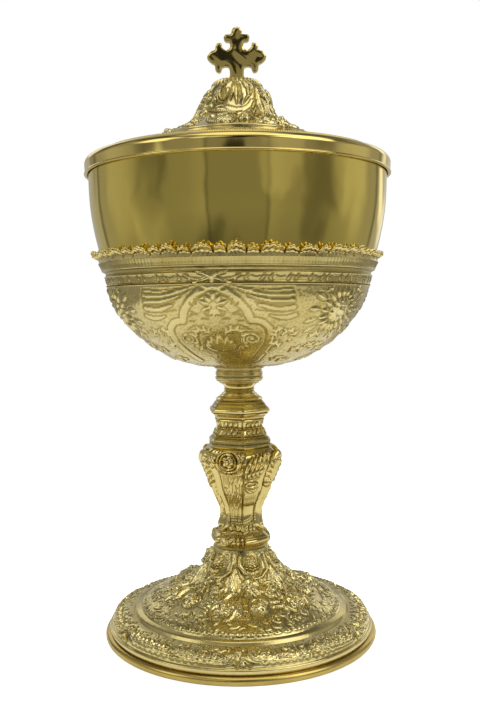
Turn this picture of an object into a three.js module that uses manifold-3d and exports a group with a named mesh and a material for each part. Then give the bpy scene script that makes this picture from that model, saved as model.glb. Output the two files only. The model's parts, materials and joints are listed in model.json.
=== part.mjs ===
// Ciborium: a lidded cup on a knopped stem and a domed foot, in gilt brass.
// Millimetres, +Z up. The origin is on the axis, on the plane that the base ring stands on.
// Azimuths are in degrees from the front, which is -Y, towards +X.

import * as THREE from 'three';
import { mergeVertices } from 'three/addons/utils/BufferGeometryUtils.js';
import Module from 'manifold-3d';

const wasm = await Module();
wasm.setup();

// Foot: a turned base ring, a spun border with a moulded step, and an embossed dome
const baseRadius = 55.5;
const baseHeight = 4.3;
const baseWall = 3.9;
const baseBeadRadius = 1.75;
const baseLedgeWidth = 3.1;
const baseLedgeThickness = 1.2;
const lipSetback = 1.7;
const lipOverhang = 0.8;
const lipHeight = 1.3;
const borderRise = 7.4;
const stepRadius = 43.3;
const stepWidth = 2.3;
const stepHeight = 1.1;
const grooveWidth = 1.2;
const domeSeatWidth = 3.5;
const footWall = 1.2;
const domeRise = 24.1;
const domeTopRadius = 11.2;
const domeTopThickness = 2.2;
const domeLobeHeight = 0.5;
const footRosetteRadius = 4.4;
const footRosetteHeight = 2.0;
const footRosetteReach = 29;
const footRosetteAzimuth = -13;
// The dome's main forms: a cartouche at the neck, a tall leaf over the rosette, a flower and a
// scroll on the slope, and a curved leaf beside the rosette. Azimuths count from a rosette, and
// shares from the bottom of the dome's height.
const footForms = [
  { azimuth: 32, share: 0.75, halfWidth: 5, halfLength: 5.5, rise: 1.4 },
  { azimuth: 3, share: 0.62, halfWidth: 3.4, halfLength: 7, rise: 0.9 },
  { azimuth: 28, share: 0.3, halfWidth: 5, halfLength: 4.5, rise: 1 },
  { azimuth: 47, share: 0.42, halfWidth: 3.6, halfLength: 4, rise: 1 },
  { azimuth: 9, share: 0.27, halfWidth: 2.4, halfLength: 5.5, rise: 1 },
];

// Stem: six castings threaded on one rod
const ringCornerAzimuth = 7;
const lowerRingRadius = 12.6;
const lowerRingHeight = 6.5;
const lowerRingBead = 1.9;
const knopHeight = 34.7;
const knopRadius = 17;
const knopWaistRadius = 8.7;
const medallionRadius = 4;
const medallionHeight = 1.5;
const voluteRadius = 2;
const voluteWidth = 3.6;
const shoulderRadius = 13.6;
const shoulderHeight = 4.5;
const waistRadius = 9.5;
const waistHeight = 8;
const upperRingRadius = 13.3;
const upperRingHeight = 7;
const neckRadius = 6;
const neckHeight = 7.7;
const collarRadius = 9.7;
const collarHeight = 5.4;
const collarFloor = 0.8;

// Cup: a spun bowl inside an embossed calyx with a fascia band and a leaf crest
const bowlRadius = 59.5;
const bowlHeight = 76.6;
const bowlWall = 1;
const calyxWall = 1;
const calyxGap = 0.5;
const calyxHeight = 31.9;
const calyxBossRadius = 7.6;
const calyxBossHeight = 2;
const calyxBossLevel = 21.5;
const calyxBossAzimuth = 50;
const bandHeight = 9.5;
const bandGap = 0.35;
const crestHeight = 5.4;
const crestTufts = 56;
const bossRadius = 6.5;

// Lid: a spun shell with a fitting ring inside, a beaded border, a bell and a cross
const lidWall = 1.1;
const lidClearance = 0.4;
const lidSkirt = 2;
const lidShoulder = 4.7;
const lidShoulderWidth = 3;
const fittingWall = 1;
const fittingDepth = 9.2;
const fittingClearance = 0.5;
const borderInset = 6.1;
const borderWidth = 1.6;
const borderHeight = 0.8;
const fieldRise = 7;
const bellRadius = 31;
const bellHeight = 24.2;
const bellSeatWidth = 4.6;
const bellWall = 1.2;
const crownRadius = 5.5;
const lidBossRadius = 4.2;
const lidBossHeight = 3.6;
const lidBossReach = 26.5;
const lidBossAzimuth = 36;
// The bell's main forms: a tall strap over the boss, a loop and a palmette under the crown, and a
// cartouche and a small scroll at the foot. Azimuths count from a boss.
const bellForms = [
  { azimuth: 2, share: 0.5, halfWidth: 3, halfLength: 8.5, rise: 1.1 },
  { azimuth: 61, share: 0.72, halfWidth: 3.4, halfLength: 4.5, rise: 0.8 },
  { azimuth: 93, share: 0.66, halfWidth: 3.8, halfLength: 5.5, rise: 0.9 },
  { azimuth: 68, share: 0.18, halfWidth: 8, halfLength: 4.2, rise: 1 },
  { azimuth: 91, share: 0.16, halfWidth: 3.6, halfLength: 3, rise: 0.8 },
];
const crossHalfWidth = 11.8;
const crossHeight = 21;
const crossThickness = 3.4;
const crossBevel = 0.5;

// Fasteners
const rodRadius = 3;
const rodStandOut = 1.1;
const footPlateThickness = 1.6;
const footWasherRadius = 9;
const footWasherThickness = 1.2;
const footNutFlats = 10;
const footNutHeight = 5;
const studRadius = 1.9;
const studStandOut = 0.8;
const finialWasherRadius = 4.6;
const finialWasherThickness = 0.8;
const finialNutFlats = 7;
const finialNutHeight = 3.2;
const holeClearance = 0.3;

// Facets
const roundSides = 32;
const domeSides = 60;
const bellSides = 54;
const stemSides = 18;
const boreSides = 12;

// Worked out from the driving dimensions
const degree = Math.PI / 180;
const lipRadius = baseRadius - lipSetback;
const domeRadius = stepRadius - stepWidth;
const ledgeRadius = domeRadius - domeSeatWidth;
const rodHole = rodRadius + holeClearance;
const studHole = studRadius + holeClearance;
const calyxOffset = calyxGap + calyxWall;
const calyxHole = bossRadius + holeClearance;
const calyxFootRadius = 0.16 * bowlRadius;
const lidRadius = bowlRadius + lidClearance + lidWall;
const fittingRadius = bowlRadius - bowlWall - fittingClearance;
const shelfRadius = lidRadius - borderInset;
const shelfLevel = lidShoulder + 0.6;
const bellSeatRadius = bellRadius - bellSeatWidth;

// Heights of the seats, each piece standing on the one before it
const borderLevel = baseHeight;
const domeLevel = borderLevel + borderRise;
const lowerRingLevel = domeLevel + domeRise;
const knopLevel = lowerRingLevel + lowerRingHeight;
const shoulderLevel = knopLevel + knopHeight;
const waistLevel = shoulderLevel + shoulderHeight;
const upperRingLevel = waistLevel + waistHeight;
const neckLevel = upperRingLevel + upperRingHeight;
const collarLevel = neckLevel + neckHeight;
const cupLevel = collarLevel + collarHeight;
const rimLevel = cupLevel + calyxOffset + bowlHeight;
const footPlateLevel = domeLevel - footWall - footPlateThickness;
const footWasherLevel = footPlateLevel - footWasherThickness;
const footNutLevel = footWasherLevel - footNutHeight;

// Points of an arc in the (radius, height) plane, with angles from the outward direction.
function arc(centreRadius, centreHeight, radius, from, to, steps) {
  const points = [];
  for (let i = 0; i <= steps; i += 1) {
    const angle = (from + ((to - from) * i) / steps) * degree;
    points.push([centreRadius + radius * Math.cos(angle), centreHeight + radius * Math.sin(angle)]);
  }
  return points;
}

// Points on a smooth curve through a few given ones.
function smooth(points, count) {
  const curve = new THREE.SplineCurve(points.map(([r, z]) => new THREE.Vector2(r, z)));
  return curve.getPoints(count).map((point) => [point.x, point.y]);
}

// Turns shares from 0 to 1 into radii and heights between two corners.
function spread(shares, [radius0, height0], [radius1, height1]) {
  return shares.map(([u, v]) => [radius0 + u * (radius1 - radius0), height0 + v * (height1 - height0)]);
}

// Moves the points of an open outline sideways, inwards for a positive distance.
function inset(points, distance) {
  return points.map(([r, z], i) => {
    const before = points[Math.max(i - 1, 0)];
    const after = points[Math.min(i + 1, points.length - 1)];
    const along = [after[0] - before[0], after[1] - before[1]];
    const length = Math.hypot(along[0], along[1]);
    return [r - (distance * along[1]) / length, z + (distance * along[0]) / length];
  });
}

// Turns an outline about the axis. Listed with the solid on its left, it faces outwards.
function revolve(outline, sides, startAzimuth = 0) {
  const onAxis = outline[0][0] === 0 && outline[outline.length - 1][0] === 0;
  const closed = onAxis ? outline : [...outline, outline[0]];
  const profile = closed.map(([r, z]) => new THREE.Vector2(r, z));
  const geometry = new THREE.LatheGeometry(profile, sides, startAzimuth * degree);
  geometry.rotateX(Math.PI / 2);
  return geometry;
}

// Moves every point of a turned surface to the radius and height that place gives.
function reshape(geometry, place) {
  const position = geometry.attributes.position;
  for (let i = 0; i < position.count; i += 1) {
    const angle = Math.atan2(position.getX(i), -position.getY(i));
    const radius = Math.hypot(position.getX(i), position.getY(i));
    const [r, z] = place(angle / degree, radius, position.getZ(i));
    position.setXYZ(i, r * Math.sin(angle), -r * Math.cos(angle), z);
  }
  return geometry;
}

// Pushes an embossed wall outwards where its raised forms are, and leaves its inside as it is.
// Each form repeats count times round the axis, with its azimuth counted from firstAzimuth.
function emboss(geometry, side, forms, count, firstAzimuth) {
  const curve = new THREE.SplineCurve(side.map(([r, z]) => new THREE.Vector2(r, z)));
  const samples = Array.from({ length: 241 }, (_, i) => curve.getPoint(i / 240));
  const base = side[0][1];
  const rise = side[side.length - 1][1] - base;
  const nearest = (r, z) => {
    const far = samples.map((point) => Math.hypot(point.x - r, point.y - z));
    return far.indexOf(Math.min(...far));
  };
  const centres = forms.map((form) => samples.find((point) => point.y >= base + form.share * rise));
  return reshape(geometry, (azimuth, radius, height) => {
    const i = nearest(radius, height);
    if (Math.hypot(samples[i].x - radius, samples[i].y - height) > 0.2) {
      return [radius, height];
    }
    const period = 360 / count;
    const lift = forms.reduce((total, form, k) => {
      const turned = azimuth - firstAzimuth - form.azimuth;
      const fromForm = turned - period * Math.round(turned / period);
      const across = (fromForm * degree * radius) / form.halfWidth;
      const along = Math.hypot(radius - centres[k].x, height - centres[k].y) / form.halfLength;
      return total + form.rise * Math.max(1 - across ** 2 - along ** 2, 0) ** 1.5;
    }, 0);
    const tangent = curve.getTangent(i / 240);
    return [radius + lift * tangent.y, height - lift * tangent.x];
  });
}

// How far a hexagon's side lies inside its corner circle at an azimuth.
function hexagonShare(azimuth) {
  const fromCorner = (((azimuth - ringCornerAzimuth) % 60) + 60) % 60;
  return Math.cos(30 * degree) / Math.cos((fromCorner - 30) * degree);
}

// A hexagonal casting with a round bore for the rod; flatness 1 gives flat sides.
function revolveHexagon(outline, flatness) {
  const geometry = revolve(outline, stemSides, ringCornerAzimuth);
  return reshape(geometry, (azimuth, radius, height) => {
    const share = 1 - flatness + flatness * hexagonShare(azimuth);
    return [radius > rodHole + holeClearance ? radius * share : radius, height];
  });
}

// Merges shared corners and drops the empty triangles that a pole leaves.
function weld(geometry) {
  const bare = geometry.clone();
  bare.deleteAttribute('normal');
  bare.deleteAttribute('uv');
  const merged = mergeVertices(bare, 1e-4);
  const index = [];
  for (let i = 0; i < merged.index.count; i += 3) {
    const corners = [merged.index.getX(i), merged.index.getX(i + 1), merged.index.getX(i + 2)];
    if (new Set(corners).size === 3) {
      index.push(...corners);
    }
  }
  merged.setIndex(index);
  return merged;
}

// The closed solid of a geometry, for joining and cutting.
function solidOf(geometry) {
  const surface = weld(geometry);
  return new wasm.Manifold(new wasm.Mesh({
    numProp: 3,
    vertProperties: new Float32Array(surface.attributes.position.array),
    triVerts: new Uint32Array(surface.index.array),
  }));
}

// The geometry of a solid.
function geometryOf(solid) {
  const mesh = solid.getMesh();
  const geometry = new THREE.BufferGeometry();
  geometry.setAttribute('position', new THREE.BufferAttribute(mesh.vertProperties, 3));
  geometry.setIndex(new THREE.BufferAttribute(mesh.triVerts, 1));
  return geometry;
}

// Joins pieces that touch into one solid.
function fuse(...geometries) {
  const solids = geometries.map(solidOf);
  return geometryOf(solids.reduce((whole, solid) => whole.add(solid)));
}

// Places a small piece with its +Z along the surface's normal, tilted up from level.
function placed(geometry, azimuth, radius, height, tilt) {
  const outward = new THREE.Vector3(Math.sin(azimuth * degree), -Math.cos(azimuth * degree), 0);
  const normal = outward.clone().multiplyScalar(Math.cos(tilt * degree));
  normal.z = Math.sin(tilt * degree);
  const sideways = new THREE.Vector3(Math.cos(azimuth * degree), Math.sin(azimuth * degree), 0);
  const upward = new THREE.Vector3().crossVectors(normal, sideways);
  const matrix = new THREE.Matrix4().makeBasis(sideways, upward, normal);
  matrix.setPosition(outward.x * radius, outward.y * radius, height);
  return geometry.clone().applyMatrix4(matrix);
}

// Copies of a small piece round the axis.
function aroundAxis(geometry, count, firstAzimuth, radius, height, tilt) {
  const copies = [];
  for (let i = 0; i < count; i += 1) {
    copies.push(placed(geometry, firstAzimuth + (360 * i) / count, radius, height, tilt));
  }
  return copies;
}

// A flower boss: petals round a raised eye, with a plug that sinks into its wall.
function makeRosette(radius, height, petals, plug) {
  const outline = [
    [0, -plug],
    [0.95 * radius, -plug],
    [radius, 0.2 * height],
    [0.66 * radius, 0.75 * height],
    [0.38 * radius, 0.4 * height],
    [0, height],
  ];
  const geometry = revolve(outline, 2 * petals);
  return reshape(geometry, (azimuth, r, z) => {
    const inPetal = 0.5 + 0.5 * Math.cos(azimuth * petals * degree);
    return [r > 0.5 * radius ? r * (0.84 + 0.16 * inPetal) : r, z];
  });
}

// A disc or sleeve with a round hole.
function makeWasher(radius, hole, thickness, sides) {
  return revolve([[hole, 0], [radius, 0], [radius, thickness], [hole, thickness]], sides);
}

// A hexagon nut on its threaded bore.
function makeNut(flats, hole, height) {
  const corner = flats / 2 / Math.cos(30 * degree);
  const outline = new THREE.Shape();
  for (let i = 0; i < 6; i += 1) {
    const angle = i * 60 * degree;
    const point = [corner * Math.cos(angle), corner * Math.sin(angle)];
    if (i === 0) {
      outline.moveTo(...point);
    } else {
      outline.lineTo(...point);
    }
  }
  outline.closePath();
  outline.holes.push(new THREE.Path().absarc(0, 0, hole, 0, 2 * Math.PI, true));
  return new THREE.ExtrudeGeometry(outline, { depth: height, bevelEnabled: false, curveSegments: 10 });
}

// Foot

function makeBaseRing() {
  const recess = lipRadius - lipOverhang;
  const inner = baseRadius - baseWall;
  const ledge = recess - baseLedgeWidth;
  return revolve([
    [inner, 0],
    ...arc(baseRadius - baseBeadRadius, baseBeadRadius, baseBeadRadius, -90, 70, 4),
    [recess, baseHeight - lipOverhang],
    [recess, baseHeight],
    [ledge, baseHeight],
    [ledge, baseHeight - baseLedgeThickness],
    [inner, baseHeight - baseLedgeThickness],
  ], roundSides);
}

// The convex border between the lip and the step, as a quarter of an ellipse.
function borderCurve(inwards, steps) {
  const centre = stepRadius + grooveWidth;
  const reach = lipRadius - 1.2 - centre - inwards;
  const start = lipHeight + 0.4;
  const rise = borderRise - stepHeight - start - inwards;
  return arc(0, 0, 1, 0, 90, steps).map(([u, v]) => [centre + reach * u, start + rise * v]);
}

function makeFootBorder() {
  return revolve([
    [lipRadius, 0],
    [lipRadius, lipHeight],
    ...borderCurve(0, 3),
    [stepRadius + 0.5 * grooveWidth, borderRise - stepHeight - 0.4],
    [stepRadius, borderRise - 0.5 * stepHeight],
    [stepRadius - 0.4, borderRise],
    [ledgeRadius, borderRise],
    [ledgeRadius, borderRise - footWall],
    [stepRadius - 0.6, borderRise - footWall],
    ...borderCurve(footWall, 2).reverse(),
    [lipRadius - 2 * footWall, 0],
  ], roundSides);
}

// The dome sweeps in from the step and up to a narrow neck.
const domeShares = [[1, 0], [0.92, 0.095], [0.624, 0.261], [0.322, 0.427], [0.161, 0.593], [0.087, 0.759], [0, 1]];
const domeCurve = spread(domeShares, [domeTopRadius, 0], [domeRadius, domeRise]);

function makeFootDome() {
  const underside = inset(smooth(domeCurve, 5), footWall).filter(([, z]) => z < domeRise - domeTopThickness);
  const outline = [
    ...smooth(domeCurve, 15),
    [rodHole, domeRise],
    [rodHole, domeRise - domeTopThickness],
    [domeTopRadius - footWall, domeRise - domeTopThickness],
    ...underside.slice(1).reverse(),
    [domeRadius - 1.5 * footWall, 0],
  ];
  const embossed = emboss(revolve(outline, domeSides), domeCurve, footForms, 6, footRosetteAzimuth);
  const shell = reshape(embossed, (azimuth, radius, height) => {
    const share = (radius - domeTopRadius) / (domeRadius - domeTopRadius);
    const lobe = Math.cos(6 * (azimuth - footRosetteAzimuth) * degree);
    const fade = share > 0 && share < 1 ? Math.sin(share * Math.PI) * Math.min(height / footWall, 1) : 0;
    return [radius, height + domeLobeHeight * lobe * fade];
  });
  const share = (footRosetteReach - domeTopRadius) / (domeRadius - domeTopRadius);
  const level = domeRise * (0.09 + 0.98 * (1 - share) ** 1.7) - domeLobeHeight;
  const rosette = makeRosette(footRosetteRadius, footRosetteHeight, 5, 0.8 * footWall);
  return fuse(shell, ...aroundAxis(rosette, 6, footRosetteAzimuth, footRosetteReach, level, 62));
}

// Stem

function makeLowerRing() {
  const seat = domeTopRadius - 0.3;
  const top = knopWaistRadius + 1.2;
  const centre = lowerRingRadius - lowerRingBead;
  return revolveHexagon([
    [rodHole, 0],
    [seat, 0],
    [seat - 0.3, 0.12 * lowerRingHeight],
    ...arc(centre, 0.55 * lowerRingHeight, lowerRingBead, -70, 70, 4),
    [top + 0.2, 0.91 * lowerRingHeight],
    [top, lowerRingHeight],
    [rodHole, lowerRingHeight],
  ], 0.6);
}

// The knop is a six-sided vase: a slender foot, a swelling belly and a short shoulder.
const knopShares = [
  [0.14, 0], [0, 0.17], [0.03, 0.3], [0.4, 0.49], [0.64, 0.65], [0.95, 0.82], [1, 0.87], [0.93, 0.94], [0.6, 1],
];

function makeKnop() {
  const side = spread(knopShares, [knopWaistRadius, 0], [knopRadius, knopHeight]);
  const body = revolveHexagon([[rodHole, 0], ...smooth(side, 11), [rodHole, knopHeight]], 0.75);
  const medallion = makeRosette(medallionRadius, medallionHeight, 5, 1.2);
  const volute = new THREE.CylinderGeometry(voluteRadius, voluteRadius, voluteWidth, 8);
  volute.rotateZ(Math.PI / 2);
  const face = 0.87 * knopRadius;
  return fuse(
    body,
    ...aroundAxis(medallion, 3, ringCornerAzimuth - 30, face - 0.4, 0.83 * knopHeight, -8),
    ...aroundAxis(volute, 6, ringCornerAzimuth, knopRadius - 0.8 * voluteRadius, 0.88 * knopHeight, 0),
  );
}

function makeShoulderRing() {
  return revolveHexagon([
    [rodHole, 0],
    [shoulderRadius - 0.6, 0],
    [shoulderRadius, 0.16 * shoulderHeight],
    [shoulderRadius, 0.7 * shoulderHeight],
    [shoulderRadius - 1, 0.88 * shoulderHeight],
    [shoulderRadius - 1.5, shoulderHeight],
    [rodHole, shoulderHeight],
  ], 0.7);
}

function makeWaist() {
  const side = [[waistRadius + 2.3, 0], [waistRadius, 0.5 * waistHeight], [waistRadius + 1.4, waistHeight]];
  return revolveHexagon([[rodHole, 0], ...smooth(side, 5), [rodHole, waistHeight]], 0.5);
}

function makeUpperRing() {
  return revolveHexagon([
    [rodHole, 0],
    [upperRingRadius - 2.1, 0],
    [upperRingRadius - 0.7, 0.17 * upperRingHeight],
    [upperRingRadius, 0.34 * upperRingHeight],
    [upperRingRadius - 0.2, 0.46 * upperRingHeight],
    [upperRingRadius - 1.1, 0.63 * upperRingHeight],
    [upperRingRadius - 2.3, 0.83 * upperRingHeight],
    [upperRingRadius - 3.4, upperRingHeight],
    [rodHole, upperRingHeight],
  ], 0.7);
}

function makeNeckSpool() {
  const foot = upperRingRadius - 3.7;
  const head = collarRadius - 0.5;
  const side = [
    [foot, 0],
    [neckRadius + 0.6, 0.3 * neckHeight],
    [neckRadius, 0.5 * neckHeight],
    [neckRadius + 0.5, 0.74 * neckHeight],
    [head, neckHeight],
  ];
  return revolve([[rodHole, 0], ...smooth(side, 7), [rodHole, neckHeight]], stemSides);
}

function makeCupCollar() {
  const line = 0.3 * collarHeight;
  return revolve([
    [rodHole, 0],
    [collarRadius - 0.4, 0],
    [collarRadius, 0.5 * line],
    [collarRadius, line - 0.2],
    [collarRadius - 0.4, line],
    [collarRadius - 0.1, line + 0.4],
    [collarRadius - 0.1, collarHeight - 0.8],
    [collarRadius + 0.4, collarHeight - 0.4],
    [collarRadius + 0.4, collarHeight],
    [calyxHole, collarHeight],
    [calyxHole, collarFloor],
    [rodHole, collarFloor],
  ], stemSides);
}

// Cup, in heights above the calyx's underside

// The bowl's outer side: a round bottom, then a wall that flares to the mouth.
const bowlShares = [
  [0.16, 0], [0.4, 0.034], [0.622, 0.134], [0.798, 0.283], [0.866, 0.41], [0.944, 0.612], [0.988, 0.8], [1, 1],
];
const bowlCurve = new THREE.SplineCurve(
  spread(bowlShares, [0, calyxOffset], [bowlRadius, calyxOffset + bowlHeight]).map(([r, z]) => new THREE.Vector2(r, z)),
);

// A point beside the bowl's side, outside it for a positive offset.
function bowlPoint(along, offset) {
  const point = bowlCurve.getPoint(along);
  const tangent = bowlCurve.getTangent(along);
  return [point.x + offset * tangent.y, point.y - offset * tangent.x];
}

// Where along the bowl's side a height is reached.
function bowlAlong(height) {
  let low = 0;
  let high = 1;
  for (let i = 0; i < 40; i += 1) {
    const middle = (low + high) / 2;
    if (bowlCurve.getPoint(middle).y < height) {
      low = middle;
    } else {
      high = middle;
    }
  }
  return low;
}

// The bowl's outer radius at a height.
function bowlRadiusAt(height) {
  return bowlCurve.getPoint(bowlAlong(height)).x;
}

// Points beside the bowl's side, evenly spaced along it.
function besideBowl(from, to, offset, steps) {
  return Array.from({ length: steps + 1 }, (_, i) => bowlPoint(from + ((to - from) * i) / steps, offset));
}

function makeCupBowl() {
  const rim = calyxOffset + bowlHeight;
  const inside = besideBowl(0, 0.93, -bowlWall, 6).reverse();
  return revolve([
    [0, calyxOffset],
    ...besideBowl(0, 1, 0, 10),
    [bowlRadius - bowlWall, rim],
    ...inside,
    [0, calyxOffset + bowlWall],
  ], roundSides);
}

// The threaded boss under the bowl, which the rod screws into.
function makeCupBoss() {
  const bottom = collarFloor + holeClearance - collarHeight;
  return revolve([
    [0, calyxOffset - 1.2],
    [rodHole, calyxOffset - 1.2],
    [rodHole, bottom],
    [bossRadius, bottom],
    [bossRadius, calyxOffset],
    [0, calyxOffset],
  ], boreSides);
}

function makeCalyx() {
  const top = bowlAlong(calyxHeight - 2);
  const edge = bowlRadiusAt(calyxHeight);
  const shell = revolve([
    [calyxHole, 0],
    [calyxFootRadius, 0],
    ...besideBowl(0.04, top, calyxOffset, 6),
    [edge + calyxOffset, calyxHeight],
    [edge + calyxGap, calyxHeight],
    ...besideBowl(0.04, top, calyxGap, 6).reverse(),
    [calyxHole, calyxWall],
  ], roundSides);
  const along = bowlAlong(calyxBossLevel);
  const [radius, height] = bowlPoint(along, calyxOffset);
  const tangent = bowlCurve.getTangent(along);
  const tilt = -Math.atan2(tangent.x, tangent.y) / degree;
  const sag = calyxBossRadius ** 2 / (2 * radius);
  const boss = makeRosette(calyxBossRadius, calyxBossHeight, 8, sag + 0.2 * calyxWall);
  return fuse(shell, ...aroundAxis(boss, 3, calyxBossAzimuth, radius, height, tilt));
}

// The fascia, the hollow above it and the fluted cove, as shares of height and steps out.
const bandSteps = [[0, 1.7], [0.08, 1.7], [0.12, 1.2], [0.43, 1.15], [0.48, 0.8], [0.66, 0.8], [0.71, 1.5], [1, 1.8]];

function makeCalyxBand() {
  const outside = bandSteps.map(([share, step]) => [bowlRadiusAt(calyxHeight + share * bandHeight) + step, share * bandHeight]);
  const inside = [0, 1].map((share) => [bowlRadiusAt(calyxHeight + share * bandHeight) + bandGap, share * bandHeight]);
  return revolve([...outside, ...inside.reverse()], roundSides);
}

// How high the crest's leaf tufts stand at an azimuth, as a share of their full height.
function tuftShare(azimuth) {
  const wave = 0.5 + 0.5 * Math.cos(azimuth * crestTufts * degree);
  const large = 0.5 + 0.5 * Math.cos((azimuth * crestTufts * degree) / 2);
  return 0.5 + wave * (0.3 + 0.2 * large);
}

function makeLeafCrest() {
  const foot = calyxHeight + bandHeight;
  const section = [[1.5, 0], [1.1, 0.45], [2, 0.8], [1, 1], [bandGap, 0.9], [bandGap, 0]];
  const nominal = bowlRadiusAt(foot);
  const ring = revolve(section.map(([step, share]) => [nominal + step, share]), 2 * crestTufts);
  return reshape(ring, (azimuth, radius, share) => {
    const rise = share * crestHeight * tuftShare(azimuth);
    return [bowlRadiusAt(foot + rise) + radius - nominal, rise];
  });
}

// Lid, in heights above the plane of the cup's rim

function makeLidShell() {
  const inner = lidRadius - lidWall;
  const seat = fittingRadius - fittingWall - 0.6;
  const shoulder = arc(0, 0, 1, 0, 75, 3).map(([u, v]) => [
    lidRadius - 0.1 - lidShoulderWidth * (1 - u),
    0.4 * lidShoulder + 0.6 * lidShoulder * v,
  ]);
  const shelfInner = shelfRadius - 0.6 * borderWidth;
  const field = smooth(
    spread([[0, 0], [0.4, 0.32], [0.8, 0.75], [1, 1]], [shelfInner, shelfLevel], [bellRadius, shelfLevel + fieldRise]),
    4,
  );
  const under = [field[4], field[2]].map(([r, z]) => [r, z - lidWall]);
  return revolve([
    [lidRadius, -lidSkirt],
    [lidRadius, 0.6 - lidSkirt],
    [lidRadius - 0.3, 0.8 - lidSkirt],
    ...shoulder,
    [shelfRadius + 0.6 * borderWidth, shelfLevel],
    ...field,
    [bellSeatRadius, shelfLevel + fieldRise],
    [bellSeatRadius, shelfLevel + fieldRise - lidWall],
    ...under,
    [seat, shelfLevel - lidWall],
    [seat, 0],
    [inner, 0],
    [inner, -lidSkirt],
  ], roundSides);
}

function makeLidBorder() {
  const top = arc(0, 0, 1, 0, 180, 3).map(([u, v]) => [shelfRadius + 0.5 * borderWidth * u, borderHeight * v]);
  return revolve(top, roundSides);
}

function makeFittingRing() {
  return revolve([
    [fittingRadius - fittingWall, -fittingDepth],
    [fittingRadius - 0.5, -fittingDepth],
    [fittingRadius, 0.6 - fittingDepth],
    [fittingRadius, 0],
    [fittingRadius - fittingWall, 0],
  ], roundSides);
}

// The bell rises in one sweep from a wide flare to a rounded crown.
const bellShares = [[1, 0.033], [0.7, 0.182], [0.46, 0.331], [0.355, 0.496], [0.29, 0.661], [0.2235, 0.826], [0.13, 0.95], [0, 1]];
const bellCurve = spread(bellShares, [crownRadius, 0], [bellRadius, bellHeight]);

function makeLidDome() {
  const crown = bellHeight - bellWall;
  const underside = inset(smooth(bellCurve, 5), bellWall).filter(([, z]) => z > 0 && z < crown);
  const shell = revolve([
    [bellRadius, 0],
    ...smooth(bellCurve, 14),
    [studHole, bellHeight],
    [studHole, crown],
    [crownRadius, crown],
    ...underside.slice(0, -1).reverse(),
    [bellRadius - 2 * bellWall, 0],
  ], bellSides);
  const embossed = emboss(shell, bellCurve, bellForms, 3, lidBossAzimuth);
  const boss = makeRosette(lidBossRadius, lidBossHeight, 5, 0.7 * bellWall);
  return fuse(embossed, ...aroundAxis(boss, 3, lidBossAzimuth, lidBossReach, 0.1 * bellHeight, 66));
}

// Half of the cross's outline from the top down, in shares of its half width and height.
const crossOutline = [
  [0, 1], [0.11, 0.976], [0.17, 0.92], [0.2, 0.865], [0.38, 0.85], [0.435, 0.79], [0.37, 0.735], [0.25, 0.72],
  [0.215, 0.655], [0.26, 0.585], [0.38, 0.565], [0.485, 0.62], [0.52, 0.69], [0.61, 0.7], [0.7, 0.66],
  [0.735, 0.575], [0.87, 0.54], [1, 0.435], [0.87, 0.34], [0.75, 0.3], [0.72, 0.2], [0.62, 0.155], [0.535, 0.175],
  [0.49, 0.24], [0.38, 0.265], [0.26, 0.24], [0.235, 0.15], [0.24, 0],
];

function makeCrossFinial() {
  const right = smooth(crossOutline.map(([u, v]) => [u * crossHalfWidth, v * crossHeight]), 40);
  const left = right.slice(1).reverse().map(([x, z]) => [-x, z]);
  const shape = new THREE.Shape([...right, ...left].map(([x, z]) => new THREE.Vector2(x, z)));
  const plate = new THREE.ExtrudeGeometry(shape, {
    depth: crossThickness - 2 * crossBevel,
    bevelThickness: crossBevel,
    bevelSize: crossBevel,
    bevelOffset: -crossBevel,
    bevelSegments: 1,
    steps: 1,
  });
  plate.translate(0, 0, crossBevel - crossThickness / 2);
  plate.rotateX(Math.PI / 2);
  const foot = crossBevel;
  const bottom = -bellWall - finialWasherThickness - finialNutHeight - studStandOut;
  const stud = revolve([[0, bottom], [studRadius, bottom], [studRadius, foot + 1], [0, foot + 1]], boreSides);
  const base = new THREE.BoxGeometry(0.44 * crossHalfWidth, crossThickness, 2 * crossBevel);
  base.translate(0, 0, crossBevel);
  return fuse(plate, base, stud);
}

// Fasteners

function makeTieRod() {
  const bottom = footNutLevel - rodStandOut;
  const top = cupLevel + calyxOffset - 1.2 - holeClearance;
  return revolve([[0, bottom], [rodRadius, bottom], [rodRadius, top], [0, top]], boreSides);
}

// Assembly

// A polished gilt surface, or plain metal for what is hidden inside.
function gilt(color, roughness) {
  return new THREE.MeshStandardMaterial({ color, roughness, metalness: 1 });
}

// Adds a named piece to a group at a height.
function add(group, name, geometry, level, material) {
  const mesh = new THREE.Mesh(geometry.index ? weld(geometry) : geometry, material);
  mesh.name = name;
  mesh.position.z = level;
  group.add(mesh);
}

const group = new THREE.Group();
const foot = new THREE.Group();
const stem = new THREE.Group();
const cup = new THREE.Group();
const lid = new THREE.Group();
cup.position.z = cupLevel;
lid.position.z = rimLevel;
group.add(foot, stem, cup, lid);

add(foot, 'base_ring', makeBaseRing(), 0, gilt(0xc9a94f, 0.18));
add(foot, 'foot_border', makeFootBorder(), borderLevel, gilt(0xcdb25c, 0.3));
add(foot, 'foot_dome', makeFootDome(), domeLevel, gilt(0xcdb25c, 0.32));
add(foot, 'foot_plate', makeWasher(domeRadius, rodHole, footPlateThickness, roundSides), footPlateLevel, gilt(0xb49a55, 0.4));
add(foot, 'foot_washer', makeWasher(footWasherRadius, rodHole, footWasherThickness, boreSides), footWasherLevel, gilt(0x9c9c98, 0.4));
add(foot, 'foot_nut', makeNut(footNutFlats, rodHole, footNutHeight), footNutLevel, gilt(0x9c9c98, 0.35));

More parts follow.
